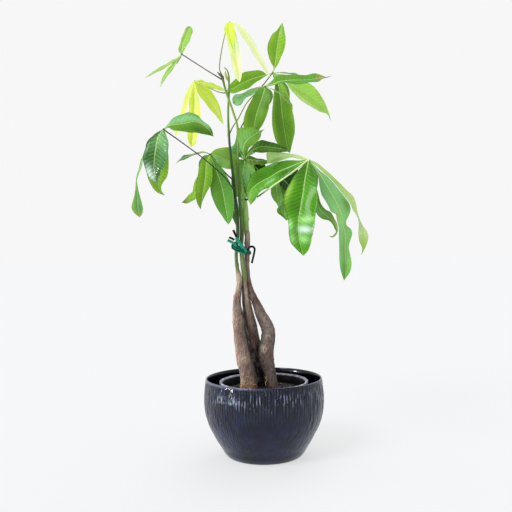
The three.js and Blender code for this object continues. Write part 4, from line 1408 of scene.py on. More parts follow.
        Leaflet((49, 501, 22), -4, (0.1, -1, 0.1), C.OLIVE, Outline(
            (25, 622, 25.5, 612, 23.5, 600, 22, 586, 20.5, 573, 20, 560, 20.5, 546, 22.5, 534, 26, 521, 33,
            511),
            (29, 620, 33, 607, 34, 595, 35.5, 580, 37, 564, 39, 548, 41, 532, 43.5, 517),
            (33, 623, 41, 613, 45, 605, 49, 593, 51, 586, 54.5, 581, 54, 573, 56, 562, 57.5, 548, 57.5, 535,
            55, 524, 52, 513)),
            left=C.OLIVE, patches=(Patch(0.6, -0.9, 0.4, 0.2, C.APPLE),
            Patch(0.6, 0.9, 0.35, 0.16, C.APPLE), Patch(0.55, 0.45, 0.3, 0.25, C.MOSS),
            Patch(0.12, 0.3, 0.1, 0.8, C.DARK), Patch(0.14, -0.6, 0.14, 0.5, C.SPRING))),
        Leaflet((118, 553, 28), 0, (-0.1, -0.9, 0.4), C.SPRING, Outline(
            (34, 626, 44, 619, 49, 610, 54, 603, 60, 597, 67, 590.5, 75, 584, 83, 578.5, 92, 573, 101,
            568.8, 111, 565.5),
            (40, 622, 60, 610, 78, 599, 92, 588, 103, 577, 111, 568),
            (40, 630, 60, 625, 78, 619, 88, 612.5, 94, 606.5, 100, 599, 105, 591, 109, 583, 112, 574, 115,
            566)),
            end=C.OLIVE, end_from=0.97, patches=(Patch(0.6, 0.9, 0.3, 0.15, C.PALE_FRESH),)),
        Leaflet((78, 626, 62), 2, (0, -0.3, 1), C.MEADOW, Arc(0, 2, 16)),
        Leaflet((44, 578, 98), 6, (0, 0.4, 0.9), C.OLIVE, Arc(4, 0, 24)),
    ), stalk_tones=((0, paint(96, 130, 56)), (0.5, paint(128, 160, 84)),
    (0.8, paint(78, 104, 52)), (1, paint(120, 144, 88))), reach=35),
    CompoundLeaf(
        "leaf_upper_inner", "leaf_green",
        ((-37.2, 534, 1), (-28, 552, 12), (-14, 578, 18), (0, 600, 14), (9, 612, 10)), 1, (
        Leaflet((121, 628.5, 0), 0, (0, -0.8, 0.6), C.VIVID, Outline(
            (18, 619, 27, 627, 34, 632, 44, 632, 56, 631, 68, 630, 79, 631, 89, 633.3, 96, 632, 104, 629,
            112, 626.8),
            (20, 615, 32, 619.5, 45, 621.5, 60, 622, 75, 622, 88, 623, 98, 625, 108, 626),
            (18, 613.5, 30, 616, 42, 617.5, 50, 616.5, 62, 616, 75, 616.5, 88, 618, 98, 619.5, 105, 624,
            113, 625.6)),
            end=C.TAN, end_from=0.93, patches=(Patch(0.84, 0, 0.06, 1.2, C.BROWN),
            Patch(0.3, -0.4, 0.4, 0.7, C.OLIVE))),
        Leaflet((-45, 586, -4), -4, (0, 0.5, 0.85), C.SAGE, Outline(
            (-4, 611.5, -13, 609, -24, 604, -34, 600, -42, 598.5, -46, 592),
            (-2, 610, -9, 605.5, -20, 600, -30, 596, -39, 593),
            (-3, 606, -11, 600, -19, 595.5, -26, 590, -32, 583, -38, 580.5, -43, 583)),
            fold=(30, 50), patches=(Patch(0.5, 0, 0.6, 0.16, C.DARK_TIP),
            Patch(0.45, 0.5, 0.4, 0.5, C.PINE, 0.6), Patch(0.92, 0, 0.16, 1.2, C.PINE, 0.5),
            Patch(0.1, -0.5, 0.2, 0.6, C.FRESH))),
        Leaflet((55, 574, -6), 0, (0.5, -0.6, 0.6), C.MOSS, Arc(3, 5, 7)),
        Leaflet((-13, 525, 10), -4, (0, -1, 0.2), C.APPLE, Outline(
            (0, 610, -6, 605, -11, 595, -16, 586, -21, 577, -25, 567, -27.5, 555, -27, 543, -22, 533),
            (6, 600, 2, 588, -3, 575, -7, 562, -10, 548, -12, 535),
            (13, 608, 16, 601, 16.5, 592, 15.5, 582, 13, 570, 9, 559, 4, 549, -3, 539)),
            left=C.MOSS, gloss=0.15, patches=(Patch(0.15, 0, 0.14, 1.2, C.VIVID),
            Patch(0.6, 0.5, 0.25, 0.4, C.MOSS), Patch(0.5, -0.5, 0.3, 0.6, C.OLIVE),
            Patch(0.45, 0.1, 0.3, 0.2, C.VIVID))),
        Leaflet((3, 572, 70), 0, (0, 0.4, 0.9), C.OLIVE, Arc(4, 2, 26)),
    ), stalk_tones=((0, paint(84, 124, 44)), (1, paint(96, 128, 60))), reach=-25),
)


@dataclass(frozen=True)
class Scar:
    """A mark on a trunk, seen from the front: where it is, how wide, and what it does."""

    x: float
    z: float
    radius: float
    lift: float
    tone: Colour
    ring: bool = False


@dataclass(frozen=True)
class Trunk:
    """A woody trunk that leans in to the tie.

    Its tones go by height in mm. Its flank light paints light and shade on it: how much lighter or darker
    it is by the way that its surface faces, from -1 (left) to 1 (right). Its swells, ridges and knobs are a
    grain across and along, then a height, all in mm.
    """

    name: str
    slot: str
    stations: tuple[Station, ...]
    tones: Tones
    scars: tuple[Scar, ...] = ()
    painted_flank_light: tuple[Pair, ...] = ((0, 1),)
    sides: int = 60
    rows: int = 240
    ripple: float = 0.05
    lobes: int = 3
    scar_cover: float = 0.85
    scar_squeeze: float = 0.9
    scar_ragged: float = 0.3
    scar_grain: float = 2.4
    scar_edge: Pair = (1.15, 0.55)
    ring_at: float = 0.8
    ring_width: float = 0.3
    ring_top: float = 0.35
    ring_open: Pair = (-0.6, 0.4)
    swells: Point = (9.0, 16.0, 0.6)
    ridges: Point = (2.6, 11.0, 0.45)
    knobs: Point = (4.5, 3.4, 2.2)
    knob_shift: float = 7.0
    knob_least: float = 0.32

    def build(self, material: Material) -> None:
        """Makes the trunk in place of its node, with its swellings, lenticels and scars.

        Args:
            material: The bark.
        """
        placed = [[*SIGHT.place(station), index] for index, station in enumerate(self.stations)]
        line = smooth_line(placed, self.rows)
        points = rings_along(line, self.sides, self._swell)
        outward = unit(points - line[:, :3].repeat(self.sides, axis=0))
        # Painted light and shade: each point is made lighter or darker by the way that it faces.
        light = np.interp(outward[:, 0], *zip(*self.painted_flank_light))
        tones = tone_along(self.tones, points[:, 2]) * light[:, None]
        lift = np.array([self._bark(*point) for point in points])
        for scar in self.scars:
            share = self._share(scar, points)
            lift = lift + scar.lift * share
            tones = tones + self.scar_cover * share[:, None] * (np.array(scar.tone) - tones)
        builder = MeshBuilder()
        builder.shell(points + outward * lift[:, None], self.sides, tones)
        builder.build(self.name, material, self.slot, self.name)

    def _swell(self, row: np.ndarray, angles: np.ndarray) -> np.ndarray:
        """The gentle lobes round a trunk, as in the solid; the row's last value turns them."""
        return 1 + self.ripple * np.sin(self.lobes * angles + row[4])

    def _bark(self, x: float, y: float, z: float) -> float:
        """The bark's own unevenness.

        Args:
            x: A point's place to the right in mm.
            y: Its depth in mm.
            z: Its height in mm.

        Returns:
            How far the bark is raised there, in mm.
        """
        def grained(grain: Point, shift: float = 0.0) -> float:
            """Soft lumps of one grain."""
            return lumps(x / grain[0], y / grain[0], z / grain[1] + shift)

        swell = self.swells[2] * grained(self.swells)
        ridge = self.ridges[2] * grained(self.ridges)
        knob = self.knobs[2] * max(grained(self.knobs, self.knob_shift) - self.knob_least, 0)
        return swell + ridge + knob

    def _share(self, scar: Scar, points: np.ndarray) -> np.ndarray:
        """How much of a scar, from 0 to 1, is at each of the trunk's points: none at the back.

        Args:
            scar: The scar.
            points: The trunk's points in mm.

        Returns:
            A share for each point.
        """
        spot = SIGHT.place((scar.x, scar.z, 0))
        placed = np.array([SIGHT.place(station) for station in self.stations])
        front = points[:, 1] < np.interp(spot[2], placed[:, 2], placed[:, 1])
        up = (points[:, 2] - spot[2]) / scar.radius
        far = np.hypot((points[:, 0] - spot[0]) / scar.radius, up * self.scar_squeeze)
        far = far + self.scar_ragged * np.array([lumps(*point / self.scar_grain) for point in points])
        if scar.ring:
            share = np.exp(-(((far - self.ring_at) / self.ring_width) ** 2))
            share = share * (self.ring_top + (1 - self.ring_top) * ease(*self.ring_open, up))
        else:
            share = ease(*self.scar_edge, far)
        return np.where(front, share, 0)


BARK_BUFF = paint(142, 124, 112)
BARK_PALE = paint(178, 162, 142)
BARK_MAUVE = paint(108, 89, 83)
BARK_BROWN = paint(88, 64, 60)
BARK_GREY = paint(116, 104, 98)
BARK_DARK = paint(44, 29, 30)
# Painted shade colour for the dark gap between the trunks.
BARK_SHADE = paint(20, 10, 12)
SCAR_PALE = paint(198, 172, 136)
SCAR_ORANGE = paint(206, 150, 92)

TRUNKS: tuple[Trunk, ...] = (
    Trunk(
        "trunk_left", "bark_light",
        ((-24, 70, -16, 14), (-25, 112, -18, 14.2), (-25.5, 125, -17, 13.4), (-28, 140, -16, 12.5),
         (-31.5, 155, -16, 12.4), (-34, 170, -15, 12), (-37, 190, -13, 11), (-39.5, 205, -12, 10.2),
         (-41, 220, -10, 9.8), (-42.3, 235, -8, 8.2), (-42.6, 250, -7, 6.8), (-41.4, 264, -6, 5.8),
         (-39.2, 277, -4, 5.1), (-37.8, 289, -3, 4.6)),
        ((70, BARK_BROWN), (112, SCAR_ORANGE), (124, BARK_BUFF), (138, BARK_MAUVE), (160, BARK_BUFF),
         (200, BARK_MAUVE), (230, BARK_BUFF), (255, BARK_MAUVE), (272, BARK_BUFF), (289, BARK_PALE)),
        (Scar(-31, 161, 4.4, 1.1, SCAR_PALE, ring=True), Scar(-31, 119, 3.4, 1, SCAR_ORANGE),
         Scar(-21, 123, 2.6, 1, SCAR_PALE), Scar(-48, 222, 2.6, 1.2, BARK_PALE),
         Scar(-38, 284, 5, 0.3, BARK_PALE), Scar(-22, 140, 3.5, 0.6, BARK_MAUVE),
         Scar(-34, 138, 3, 0.8, BARK_PALE)),
        # Painted light on the left side, painted shade on the right edge.
        painted_flank_light=((-1, 2.4), (-0.45, 1.2), (0.6, 1.2), (1, 0.1)),
    ),
    Trunk(
        "trunk_middle", "bark_dark",
        ((-2, 70, 18, 11.5), (-3, 112, 18, 11.2), (-6, 130, 18, 10.6), (-9.5, 150, 18, 10.5),
         (-13, 170, 17, 11.2), (-16, 190, 16, 11.2), (-19, 205, 15, 10.8), (-22, 220, 14, 10.2),
         (-25, 235, 12, 9), (-26.6, 250, 10, 7.8), (-28, 264, 6, 6.5), (-29.2, 277, 3, 5.2),
         (-29.6, 287, 2, 4.6)),
        # The middle trunk is painted near-black up to about 190 mm as shade between the trunks.
        ((70, BARK_SHADE), (155, BARK_SHADE), (174, BARK_DARK), (190, BARK_BROWN), (205, BARK_MAUVE),
         (222, BARK_BUFF), (262, BARK_PALE), (287, BARK_BUFF)),
        # Painted shade on both edges, darkest on the left; painted light across the middle.
        painted_flank_light=((-0.9, 0.05), (-0.45, 0.2), (-0.1, 1.5), (0.5, 1.4), (1, 0.3)),
    ),
    Trunk(
        "trunk_right", "bark_grey",
        ((15, 70, 0, 9.6), (14, 112, 0, 9.2), (12, 125, -1, 9.4), (9.5, 140, -2, 10),
         (7, 150, -3, 11.6), (5.5, 162, -3, 12.4), (5.4, 176, -4, 12.4), (7.6, 190, -4, 11.6),
         (8.6, 200, -4, 11.2), (7.4, 210, -3, 10.9), (3, 221, -2, 10.2), (-2.6, 233, -1, 9),
         (-8, 245, 0, 7.6), (-13.4, 257, 2, 6.4), (-18.8, 270, 4, 5.3), (-22.6, 283, 7, 4.6),
         (-24.4, 296, 8, 4.4), (-25.2, 312, 9, 4.4), (-25, 330, 8, 4.4), (-24.4, 350, 7, 4.5),
         (-24.2, 371, 7, 4.3)),
        ((70, BARK_DARK), (112, BARK_MAUVE), (130, BARK_GREY), (175, BARK_MAUVE), (195, BARK_GREY),
         (235, BARK_GREY), (258, BARK_BROWN), (285, BARK_MAUVE), (312, BARK_BUFF), (350, BARK_BUFF),
         (371, BARK_PALE)),
        (Scar(1, 176, 7, 0.7, BARK_PALE), Scar(5, 170, 2.6, -0.4, BARK_DARK),
         Scar(8, 196, 4, 0.8, BARK_PALE, ring=True), Scar(3, 128, 2.2, 0.5, SCAR_PALE),
         Scar(2, 118, 2, 0.4, SCAR_PALE), Scar(14, 140, 3, 0.5, BARK_BUFF)),
        # Painted shade on the left edge and, less, on the right edge; painted light across the front.
        painted_flank_light=((-1, 0.25), (-0.4, 0.9), (0, 1.15), (0.8, 1.25), (1, 0.5)),
    ),
)


@dataclass(frozen=True)
class Stem:
    """A green stem above a trunk, with the small shoot at its top; its tones go by height in mm."""

    name: str
    stations: tuple[Station, ...]
    tones: Tones
    shoot: tuple[Station, ...] = ()
    shoot_tones: Tones = ()
    nodes: tuple[float, ...] = ()
    node_swell: float = 0.22
    node_span: float = 2.2
    rows: int = 160
    sides: int = 20
    shoot_rows: int = 24
    shoot_sides: int = 12

    def build(self, material: Material) -> None:
        """Makes the stem in place of its node, swollen a little at its leaf scars.

        Args:
            material: The stem's skin.
        """
        line = SIGHT.line(self.stations, self.rows)
        for height in self.nodes:
            line[:, 3] *= 1 + self.node_swell * np.exp(-(((line[:, 2] - height) / self.node_span) ** 2))
        tones = tone_along(self.tones, line[:, 2]).repeat(self.sides, axis=0)
        builder = MeshBuilder()
        builder.shell(rings_along(line, self.sides), self.sides, tones)
        if self.shoot:
            builder.tube(self.shoot, self.shoot_sides, self.shoot_rows, self.shoot_tones)
        builder.build(self.name, material, "stem_green", self.name)


STEM_FRESH = paint(108, 152, 58)
STEM_LIGHT = paint(150, 184, 84)

STEMS: tuple[Stem, ...] = (
    Stem(
        "stem_left",
        ((-38, 284, -3, 4.6), (-38.8, 294, -3, 4.9), (-39.8, 301, -3, 4.3), (-41, 307, -4, 3.2),
         (-42, 315, -4, 2.9), (-43, 330, -4, 2.8),
         (-42.2, 345, -4, 2.8), (-40.2, 362, -4, 3.1), (-39.9, 380, -5, 3.1), (-41.2, 402, -6, 3.1),
         (-43, 424, -7, 2.8), (-45.2, 450, -8, 2.4), (-47.6, 475, -8, 2.2), (-50, 500, -7, 2.1),
         (-52, 526, -6, 2), (-53, 550, -4, 1.9), (-53, 574, -3, 1.8), (-51.6, 597, -1, 1.7),
         (-51, 618, 0, 1.6), (-51.4, 632, 0, 1.4), (-54.4, 641, 0, 1.2), (-59, 645, 0, 0.9)),
        ((284, BARK_PALE), (300, BARK_PALE), (306, paint(116, 120, 74)), (320, paint(92, 112, 58)),
         (345, paint(84, 108, 52)), (368, paint(66, 94, 42)), (400, paint(42, 70, 28)),
         (520, paint(50, 86, 34)), (560, STEM_FRESH), (620, paint(120, 150, 66)), (650, STEM_LIGHT)),
        ((-51.4, 622, -1, 1.2), (-54.6, 628, -2, 2.1), (-56.4, 634, -2, 1.6), (-57, 639, -2, 0.7)),
        ((0, STEM_FRESH), (0.4, paint(206, 206, 84)), (1, paint(180, 190, 90))),
        nodes=(316, 437, 457, 532, 603),
    ),
    Stem(
        "stem_middle",
        ((-29.5, 281, 2, 4.2), (-30.2, 300, 0, 4.1), (-32, 315, -1, 3.9), (-33.6, 330, -1, 3.6),
         (-34.4, 345, -1, 3.3), (-33.2, 362, 0, 3.4), (-33, 382, 0, 3.5), (-34, 402, 0, 3.4),
         (-36, 425, 0, 2.7), (-37.6, 450, 1, 2.1), (-38.2, 475, 2, 2), (-38, 500, 2, 2),
         (-37, 522, 2, 1.9), (-37.2, 540, 0, 1.9), (-39.6, 554, -3, 1.8), (-44, 568, -6, 1.8),
         (-48.4, 582, -8, 1.8), (-53, 595, -8, 1.8), (-57, 608, -7, 1.8), (-60, 620, -6, 1.9),
         (-62, 630, -5, 2.3)),
        ((287, paint(120, 132, 84)), (330, paint(110, 138, 76)), (366, paint(66, 92, 44)),
         (390, paint(96, 132, 62)), (470, paint(88, 126, 56)), (530, paint(150, 186, 74)),
         (575, paint(140, 178, 70)), (600, STEM_FRESH), (618, paint(88, 116, 50)),
         (632, paint(50, 58, 36))),
        ((-61, 628, -6, 1.4), (-66, 633, -7, 1.9), (-70.5, 637.5, -8, 0.7)),
        ((0, paint(70, 80, 40)), (1, paint(126, 128, 62))),
        nodes=(424, 534, 630),
    ),
    Stem(
        "stem_right",
        ((-24.6, 364, 7, 4.2), (-26, 384, 6, 4.8), (-26.6, 400, 7, 5.3), (-27.6, 416, 8, 4.9),
         (-29.4, 432, 8, 3.6), (-31, 448, 9, 2.4), (-31.6, 462, 10, 1.9), (-31.4, 474, 11, 1.1)),
        ((366, paint(104, 100, 74)), (376, paint(140, 172, 96)), (400, paint(160, 208, 112)),
         (474, paint(120, 170, 76))),
        nodes=(392, 424, 433, 450),
    ),
)


@dataclass(frozen=True)
class Planter:
    """The round outer planter with its hammered wall; its profiles hold radius and height in mm."""

    outside: tuple[Pair, ...] = (
        (0.5, 0), (30, 0), (56, 0), (62, 1.6), (67, 7), (72.5, 16.4), (79.5, 27.6), (86, 39.7),
        (91.5, 50.8), (95.5, 62), (98.3, 75), (99.5, 90), (99.2, 104), (98, 116), (96.9, 125),
        (96.3, 127.4),
    )
    rim: tuple[Pair, ...] = ((95.6, 128), (94.8, 128), (94.1, 127.4))
    inside: tuple[Pair, ...] = (
        (94.6, 120), (95.4, 110), (96.6, 90), (92.5, 62), (83, 40), (69.5, 18), (60, 6), (58, 5),
        (30, 5), (0.5, 5),
    )
    # Painted light: the rim's rows are made brighter as a highlight, the inner wall darker as shade.
    rim_painted_light: Point = (3.0, 2.0, 0.4)
    inner_painted_shade: float = 0.15
    segments: int = 420
    wall_rows: int = 110
    inner_rows: int = 40
    stroke_width: float = 4.6
    stroke_length: float = 24.0
    stroke_depth: float = 0.85
    stroke_drift: float = 5.0
    drift_length: float = 30.0
    fine_stroke: float = 2.1
    fine_share: float = 0.45
    hammered_above: Pair = (6, 24)
    hammered_below: Pair = (127, 123)
    strong_above: Pair = (35, 85)
    weak: float = 0.45

    def build(self, material: Material) -> None:
        """Makes the planter in place of its node.

        Args:
            material: The glaze.
        """
        outer = smooth_line([(r, 0, z) for r, z in self.outside], self.wall_rows)[:, [0, 2]]
        inner = smooth_line([(r, 0, z) for r, z in self.inside], self.inner_rows)[:, [0, 2]]
        profile = np.concatenate([outer, np.array(self.rim), inner])
        wall = (np.arange(len(profile)) < len(outer)).astype(float)
        # The tone carries a painted highlight on the rim and painted shade on the inner wall.
        shades = (np.ones(len(outer)), self.rim_painted_light, np.full(len(inner), self.inner_painted_shade))
        shade = np.concatenate(shades).repeat(self.segments)[:, None]
        points = []
        hollows = []
        for (radius, height), hammered in zip(profile, wall):
            amount = hammered * ease(*self.hammered_above, height) * ease(*self.hammered_below, height)
            for angle in around(self.segments):
                x, y = math.cos(angle), math.sin(angle)
                hollow = self._stroke(x * radius, y * radius, height) * amount
                reach = radius - self.stroke_depth * hollow
                points.append((reach * x, reach * y, max(height, 0.0)))
                hollows.append(hollow)
        values = {"hollow": np.array(hollows), "wall": wall.repeat(self.segments)}
        builder = MeshBuilder()
        builder.shell(np.array(points), self.segments, shade, **values)
        builder.build("planter", material, "planter_shell", "planter")

    def _stroke(self, x: float, y: float, z: float) -> float:
        """How deep the hammer marks are at a place on the wall.

        Args:
            x: The place to the right in mm.
            y: Its depth in mm.
            z: Its height in mm.

        Returns:
            The share of the full depth, from 0 to 1.
        """
        drift = self.stroke_drift * lumps(*(np.array((x, y, z)) / self.drift_length))
        mark = np.array((x + drift, y + drift, z)) / ((self.stroke_width,) * 2 + (self.stroke_length,))
        cut = lumps(*mark) + self.fine_share * lumps(*(mark * self.fine_stroke))
        return float(ease(-0.25, 0.55, cut) * (self.weak + (1 - self.weak) * ease(*self.strong_above, z)))


@dataclass(frozen=True)
class NurseryPot:
    """The plain grower's pot inside, with its rolled rim."""

    base_radius: float = 50.0
    neck_radius: float = 70.2
    rim_radius: float = 73.7
    wall: float = 1.6
    rim_depth: float = 7.0
    bead: float = 1.3
    top: float = 122.6
    base: float = 5.3
    segments: int = 192
    # The rim's top rows, within lit_depth of the top, are painted lit_shade times brighter as a painted
    # highlight.
    lit_depth: float = 1.6
    lit_shade: float = 70.0

    def build(self, material: Material) -> None:
        """Makes the pot in place of its node, with a painted highlight on its rim.

        Args:
            material: The plastic.
        """
        low = self.top - self.rim_depth
        crown = self.rim_radius - self.bead
        turn = np.radians(range(0, 200, 20))
        middle = self.top - self.bead
        roll = [(crown + self.bead * math.cos(a), middle + self.bead * math.sin(a)) for a in turn]
        profile = [
            (0.5, self.base), (self.base_radius - 1, self.base), (self.base_radius, self.base + 1),
            (self.neck_radius - 0.4, low - 1), (self.neck_radius, low), (self.rim_radius - 0.8, low),
            (self.rim_radius, low + 0.8), *roll, (self.neck_radius - 0.5, self.top - 1.2),
            (self.neck_radius - self.wall, self.top - 3), (self.neck_radius - self.wall - 1.2, low - 4),
            (self.base_radius - self.wall, self.base + self.wall), (0.5, self.base + self.wall),
        ]
        # Painted highlight on the top of the rim.
        lit = [z > self.top - self.lit_depth and r > self.neck_radius - 1 for r, z in profile]
        shade = np.where(lit, self.lit_shade, 1.0)
        points = [(r * math.cos(a), r * math.sin(a), z) for r, z in profile for a in around(self.segments)]
        builder = MeshBuilder()
        builder.shell(np.array(points), self.segments, shade.repeat(self.segments)[:, None])
        builder.build("nursery_pot", material, "nursery_plastic", "nursery_pot")


@dataclass(frozen=True)
class Soil:
    """Potting mix with crumbs and a few perlite grains; its clods and fines are grain and height in mm."""

    top: float = 109.0
    radius: float = 65.8
    crown: float = 2.5
    sunk_edge: float = 2.2
    base: Pair = (48.2, 7.3)
    clods: Pair = (9.0, 1.1)
    fines: Pair = (2.8, 0.7)
    fines_layer: float = 3.0
    rings: int = 60
    segments: int = 200
    crumbs: int = 260
    crumb_sizes: Pair = (0.7, 2.0)
    crumb_margin: float = 4.0
    grain_levels: tuple[float, ...] = (-0.9, -0.3, 0.4, 0.9)
    grain_sides: int = 6
    grain_uneven: Pair = (0.75, 1.25)
    grain_squash: float = 0.8
    perlite: tuple[Point, ...] = (
        (12, -52, 1.2), (17, -55, 0.9), (22, -50, 1.4), (8, -56, 0.8), (27, -47, 0.9), (33, -50, 1.1),
        (-12, -55, 0.8), (-40, 20, 1.0), (30, 32, 1.2), (44, 6, 0.9), (-8, 48, 1.1), (48, -26, 1.0),
    )
    perlite_lift: float = 0.4
    seed: int = 7
    dark: Colour = paint(20, 15, 14)
    crumb_tones: tuple[Colour, ...] = (paint(34, 25, 22), paint(58, 42, 32), paint(18, 14, 14))
    perlite_tone: Colour = paint(216, 212, 204)

    def _over(self, x: float, y: float, lift: float = 0.0) -> Point:
        """A point on the soil's surface.

        Args:
            x: Its place to the right in mm.
            y: Its depth in mm.
            lift: How far above the surface it is, in mm.

        Returns:
            The point in mm.
        """
        share = min(math.hypot(x, y) / self.radius, 1.0)
        (coarse, high), (fine, low) = self.clods, self.fines
        lump = high * lumps(x / coarse, y / coarse, 0) + low * lumps(x / fine, y / fine, self.fines_layer)
        level = self.top + self.crown * (1 - share**2) + lump - self.sunk_edge * share**6
        return (x, y, level + lift)

    def build(self, material: Material) -> None:
        """Makes the soil with its crumbs in place of its node.

        Args:
            material: The mix.
        """
        angles = around(self.segments)
        reaches = self.radius * (np.arange(1, self.rings + 1) / self.rings)
        wide, low = self.base
        points = [(wide * math.cos(a), wide * math.sin(a), low) for a in angles]
        points += [self._over(r * math.cos(a), r * math.sin(a)) for r in reaches[::-1] for a in angles]
        builder = MeshBuilder()
        builder.shell(np.array(points), self.segments, self.dark)
        draw = random.Random(self.seed)
        for _ in range(self.crumbs):
            reach = (self.radius - self.crumb_margin) * math.sqrt(draw.random())
            angle = draw.uniform(0, 2 * math.pi)
            tone = draw.choice(self.crumb_tones)
            size = draw.uniform(*self.crumb_sizes)
            spot = self._over(reach * math.cos(angle), reach * math.sin(angle))
            self._grain(builder, draw, spot, size, tone)
        for x, y, size in self.perlite:
            self._grain(builder, draw, self._over(x, y, self.perlite_lift), size, self.perlite_tone)
        builder.build("soil", material, "potting_soil", "soil")

    def _grain(
        self, builder: MeshBuilder, draw: random.Random, at: Point, size: float, tone: Colour
    ) -> None:
        """Adds one uneven grain.

        Args:
            builder: What gathers the mesh.
            draw: The seeded numbers that make it uneven.
            at: Its middle in mm.
            size: Its radius in mm.
            tone: Its colour.
        """
        points = []
        for level in self.grain_levels:
            wide = math.sqrt(1 - level**2) * size
            for angle in around(self.grain_sides):
                reach = wide * draw.uniform(*self.grain_uneven)
                x, y = at[0] + reach * math.cos(angle), at[1] + reach * math.sin(angle)
                points.append((x, y, at[2] + level * size * self.grain_squash))
        builder.shell(np.array(points), self.grain_sides, tone)


@dataclass(frozen=True)
class Rootlets:
    """Thin curly roots that show at the trunks' feet."""

    strands: tuple[tuple[Point, ...], ...] = (
        ((-41, 111, -27), (-38, 117, -32), (-33, 118, -33.6), (-30, 113, -35), (-26, 111, -36)),
        ((-36, 110, -33), (-33, 114.5, -35), (-27.5, 117.5, -35), (-23, 121, -34.4), (-19, 120, -33)),
        ((-30, 127, -32.4), (-27, 129.5, -33), (-23.6, 127.5, -33), (-22.5, 123.5, -33.4)),
        ((-21, 111, -35), (-17.5, 115.5, -33), (-13.5, 116, -31), (-11, 111, -30)),
        ((-34, 123, -32), (-31, 121, -33.6), (-28.5, 122.4, -33.8)),
        ((4, 112, -14), (3, 119, -12), (5.5, 124, -11), (4.5, 129, -11)),
    )
    radius: float = 0.55
    sides: int = 8
    rows: int = 24
    tones: Tones = ((0, paint(120, 74, 46)), (0.4, paint(222, 186, 146)), (1, paint(176, 122, 80)))

    def build(self, material: Material) -> None:
        """Makes the rootlets.

        Args:
            material: The bark.
        """
        builder = MeshBuilder()
        for strand in self.strands:
            stations = [(*point, self.radius) for point in strand]
            builder.tube(stations, self.sides, self.rows, self.tones)
        builder.build("rootlets", material, "bark_light")


@dataclass(frozen=True)
class Ribbon:
    """One strip of the tie: its half width, its points and its colour."""

    half: float
    points: tuple[Point, ...]
    tone: Colour
    thickness: float = 0.5


FILM = paint(4, 92, 68)
# A lighter copy of the film's colour: a painted highlight on some ribbons.
FILM_PAINTED_LIT = paint(36, 156, 124)
FILM_DARK = paint(3, 20, 20)
WIRE = paint(3, 16, 18)


@dataclass(frozen=True)
class TwistTie:
    """The tie that holds the stems: a band round them, with loose ends and a wire."""

    centre: Point = (-34.2, 342, 2.5)
    half_width: float = 15.4
    half_depth: float = 13.4
    height: float = 5.6
    slope: float = 0.42
    wobble: float = 0.5
    turns: int = 96
    ribbon_rows: int = 30
    band_section: tuple[Pair, ...] = (
        (0, -1), (0.9, -0.8), (0.9, -0.15), (1.5, 0), (0.9, 0.15), (0.9, 0.8), (0, 1),
    )
    ribbon_section: tuple[Pair, ...] = (
        (-1, -1), (-0.25, -1), (0, -2.6), (0.25, -1), (1, -1),
        (1, 1), (0.25, 1), (0, 2.6), (-0.25, 1), (-1, 1),
    )
    ribbons: tuple[Ribbon, ...] = (
        # The lighter ribbons carry a painted highlight.
        Ribbon(2.8, ((-43, 361, -14), (-38, 354, -15.4), (-32, 345, -15), (-26.5, 336, -12)), FILM_PAINTED_LIT),
        Ribbon(2.2, ((-57, 357, -17.5), (-49, 353, -16.5), (-42, 347, -15.8)), FILM_PAINTED_LIT),
        Ribbon(2.6, ((-47, 353, -15.4), (-40, 346, -15.2), (-33, 340, -14.4), (-28, 335, -12)), FILM),
        Ribbon(2.0, ((-50, 345, -12), (-44, 341, -13.8), (-36, 337, -13.8), (-29, 333, -12)), FILM_PAINTED_LIT),
        Ribbon(1.9, ((-47.4, 374, -14.5), (-44.8, 368, -14.2), (-42, 362, -14)), FILM_DARK, 1.0),
        Ribbon(1.8, ((-54.5, 361.5, -16), (-50, 360, -16), (-46, 357, -15)), FILM_DARK, 1.0),
        Ribbon(1.7, ((-24, 339, -5.6), (-21, 344.4, -5), (-15.5, 345.8, -4.6), (-12.6, 343.4, -4.6),
                     (-12.8, 336, -5), (-15, 327, -5), (-17.2, 318, -5.4)), FILM_DARK, 1.0),
    )
    wire: tuple[Point, ...] = (
        (-41, 350, -15.6), (-48.5, 350.5, -14.6), (-50, 345, -14.4), (-44, 340.6, -15.4),
        (-36, 338.4, -15.6),
    )
    wire_radius: float = 0.9
    wire_sides: int = 12
    wire_rows: int = 40

    def build(self, material: Material) -> None:
        """Makes the tie in place of its node.

        Args:
            material: The film.
        """
        builder = MeshBuilder()
        self._add_band(builder)
        for ribbon in self.ribbons:
            self._add_ribbon(builder, ribbon)
        wire = [(*point, self.wire_radius) for point in self.wire]
        builder.tube(wire, self.wire_sides, self.wire_rows, ((0, WIRE), (1, WIRE)))
        builder.build("twist_tie", material, "tie_film", "twist_tie")

    def _add_band(self, builder: MeshBuilder) -> None:
        """Adds the band round the stems, sloping down to the right.

        Args:
            builder: What gathers the mesh.
        """
        x, y, z = SIGHT.place(self.centre)
        points = []
        for angle in around(self.turns):
            for out, up in self.band_section:
                across = (self.half_width + out) * math.cos(angle)
                deep = (self.half_depth + out) * math.sin(angle)
                level = z - self.slope * across + up * self.height / 2 + self.wobble * math.sin(3 * angle)
                points.append((x + across, y + deep, level))
        first = builder.add(np.array(points), FILM)
        columns = len(self.band_section)
        for i in range(self.turns):
            near = first + i * columns
            far = first + (i + 1) % self.turns * columns
            for j in range(columns):
                k = (j + 1) % columns
                builder.faces.append((near + j, far + j, far + k, near + k))

    def _add_ribbon(self, builder: MeshBuilder, ribbon: Ribbon) -> None:
        """Adds a flat strip with the ridge of its wire along the middle.

        Args:
            builder: What gathers the mesh.
            ribbon: The strip.
        """
        line = SIGHT.line(ribbon.points, self.ribbon_rows)
        along = unit(np.gradient(line, axis=0))
        across = unit(np.cross(np.array([0.0, 1.0, 0.0]), along))
        normal = np.cross(along, across)
        points = [
            spot + wide * ribbon.half * u + thick * ribbon.thickness / 2 * v
            for spot, wide, thick in zip(line, across, normal)
            for u, v in self.ribbon_section
        ]
        builder.shell(np.array(points), len(self.ribbon_section), ribbon.tone)


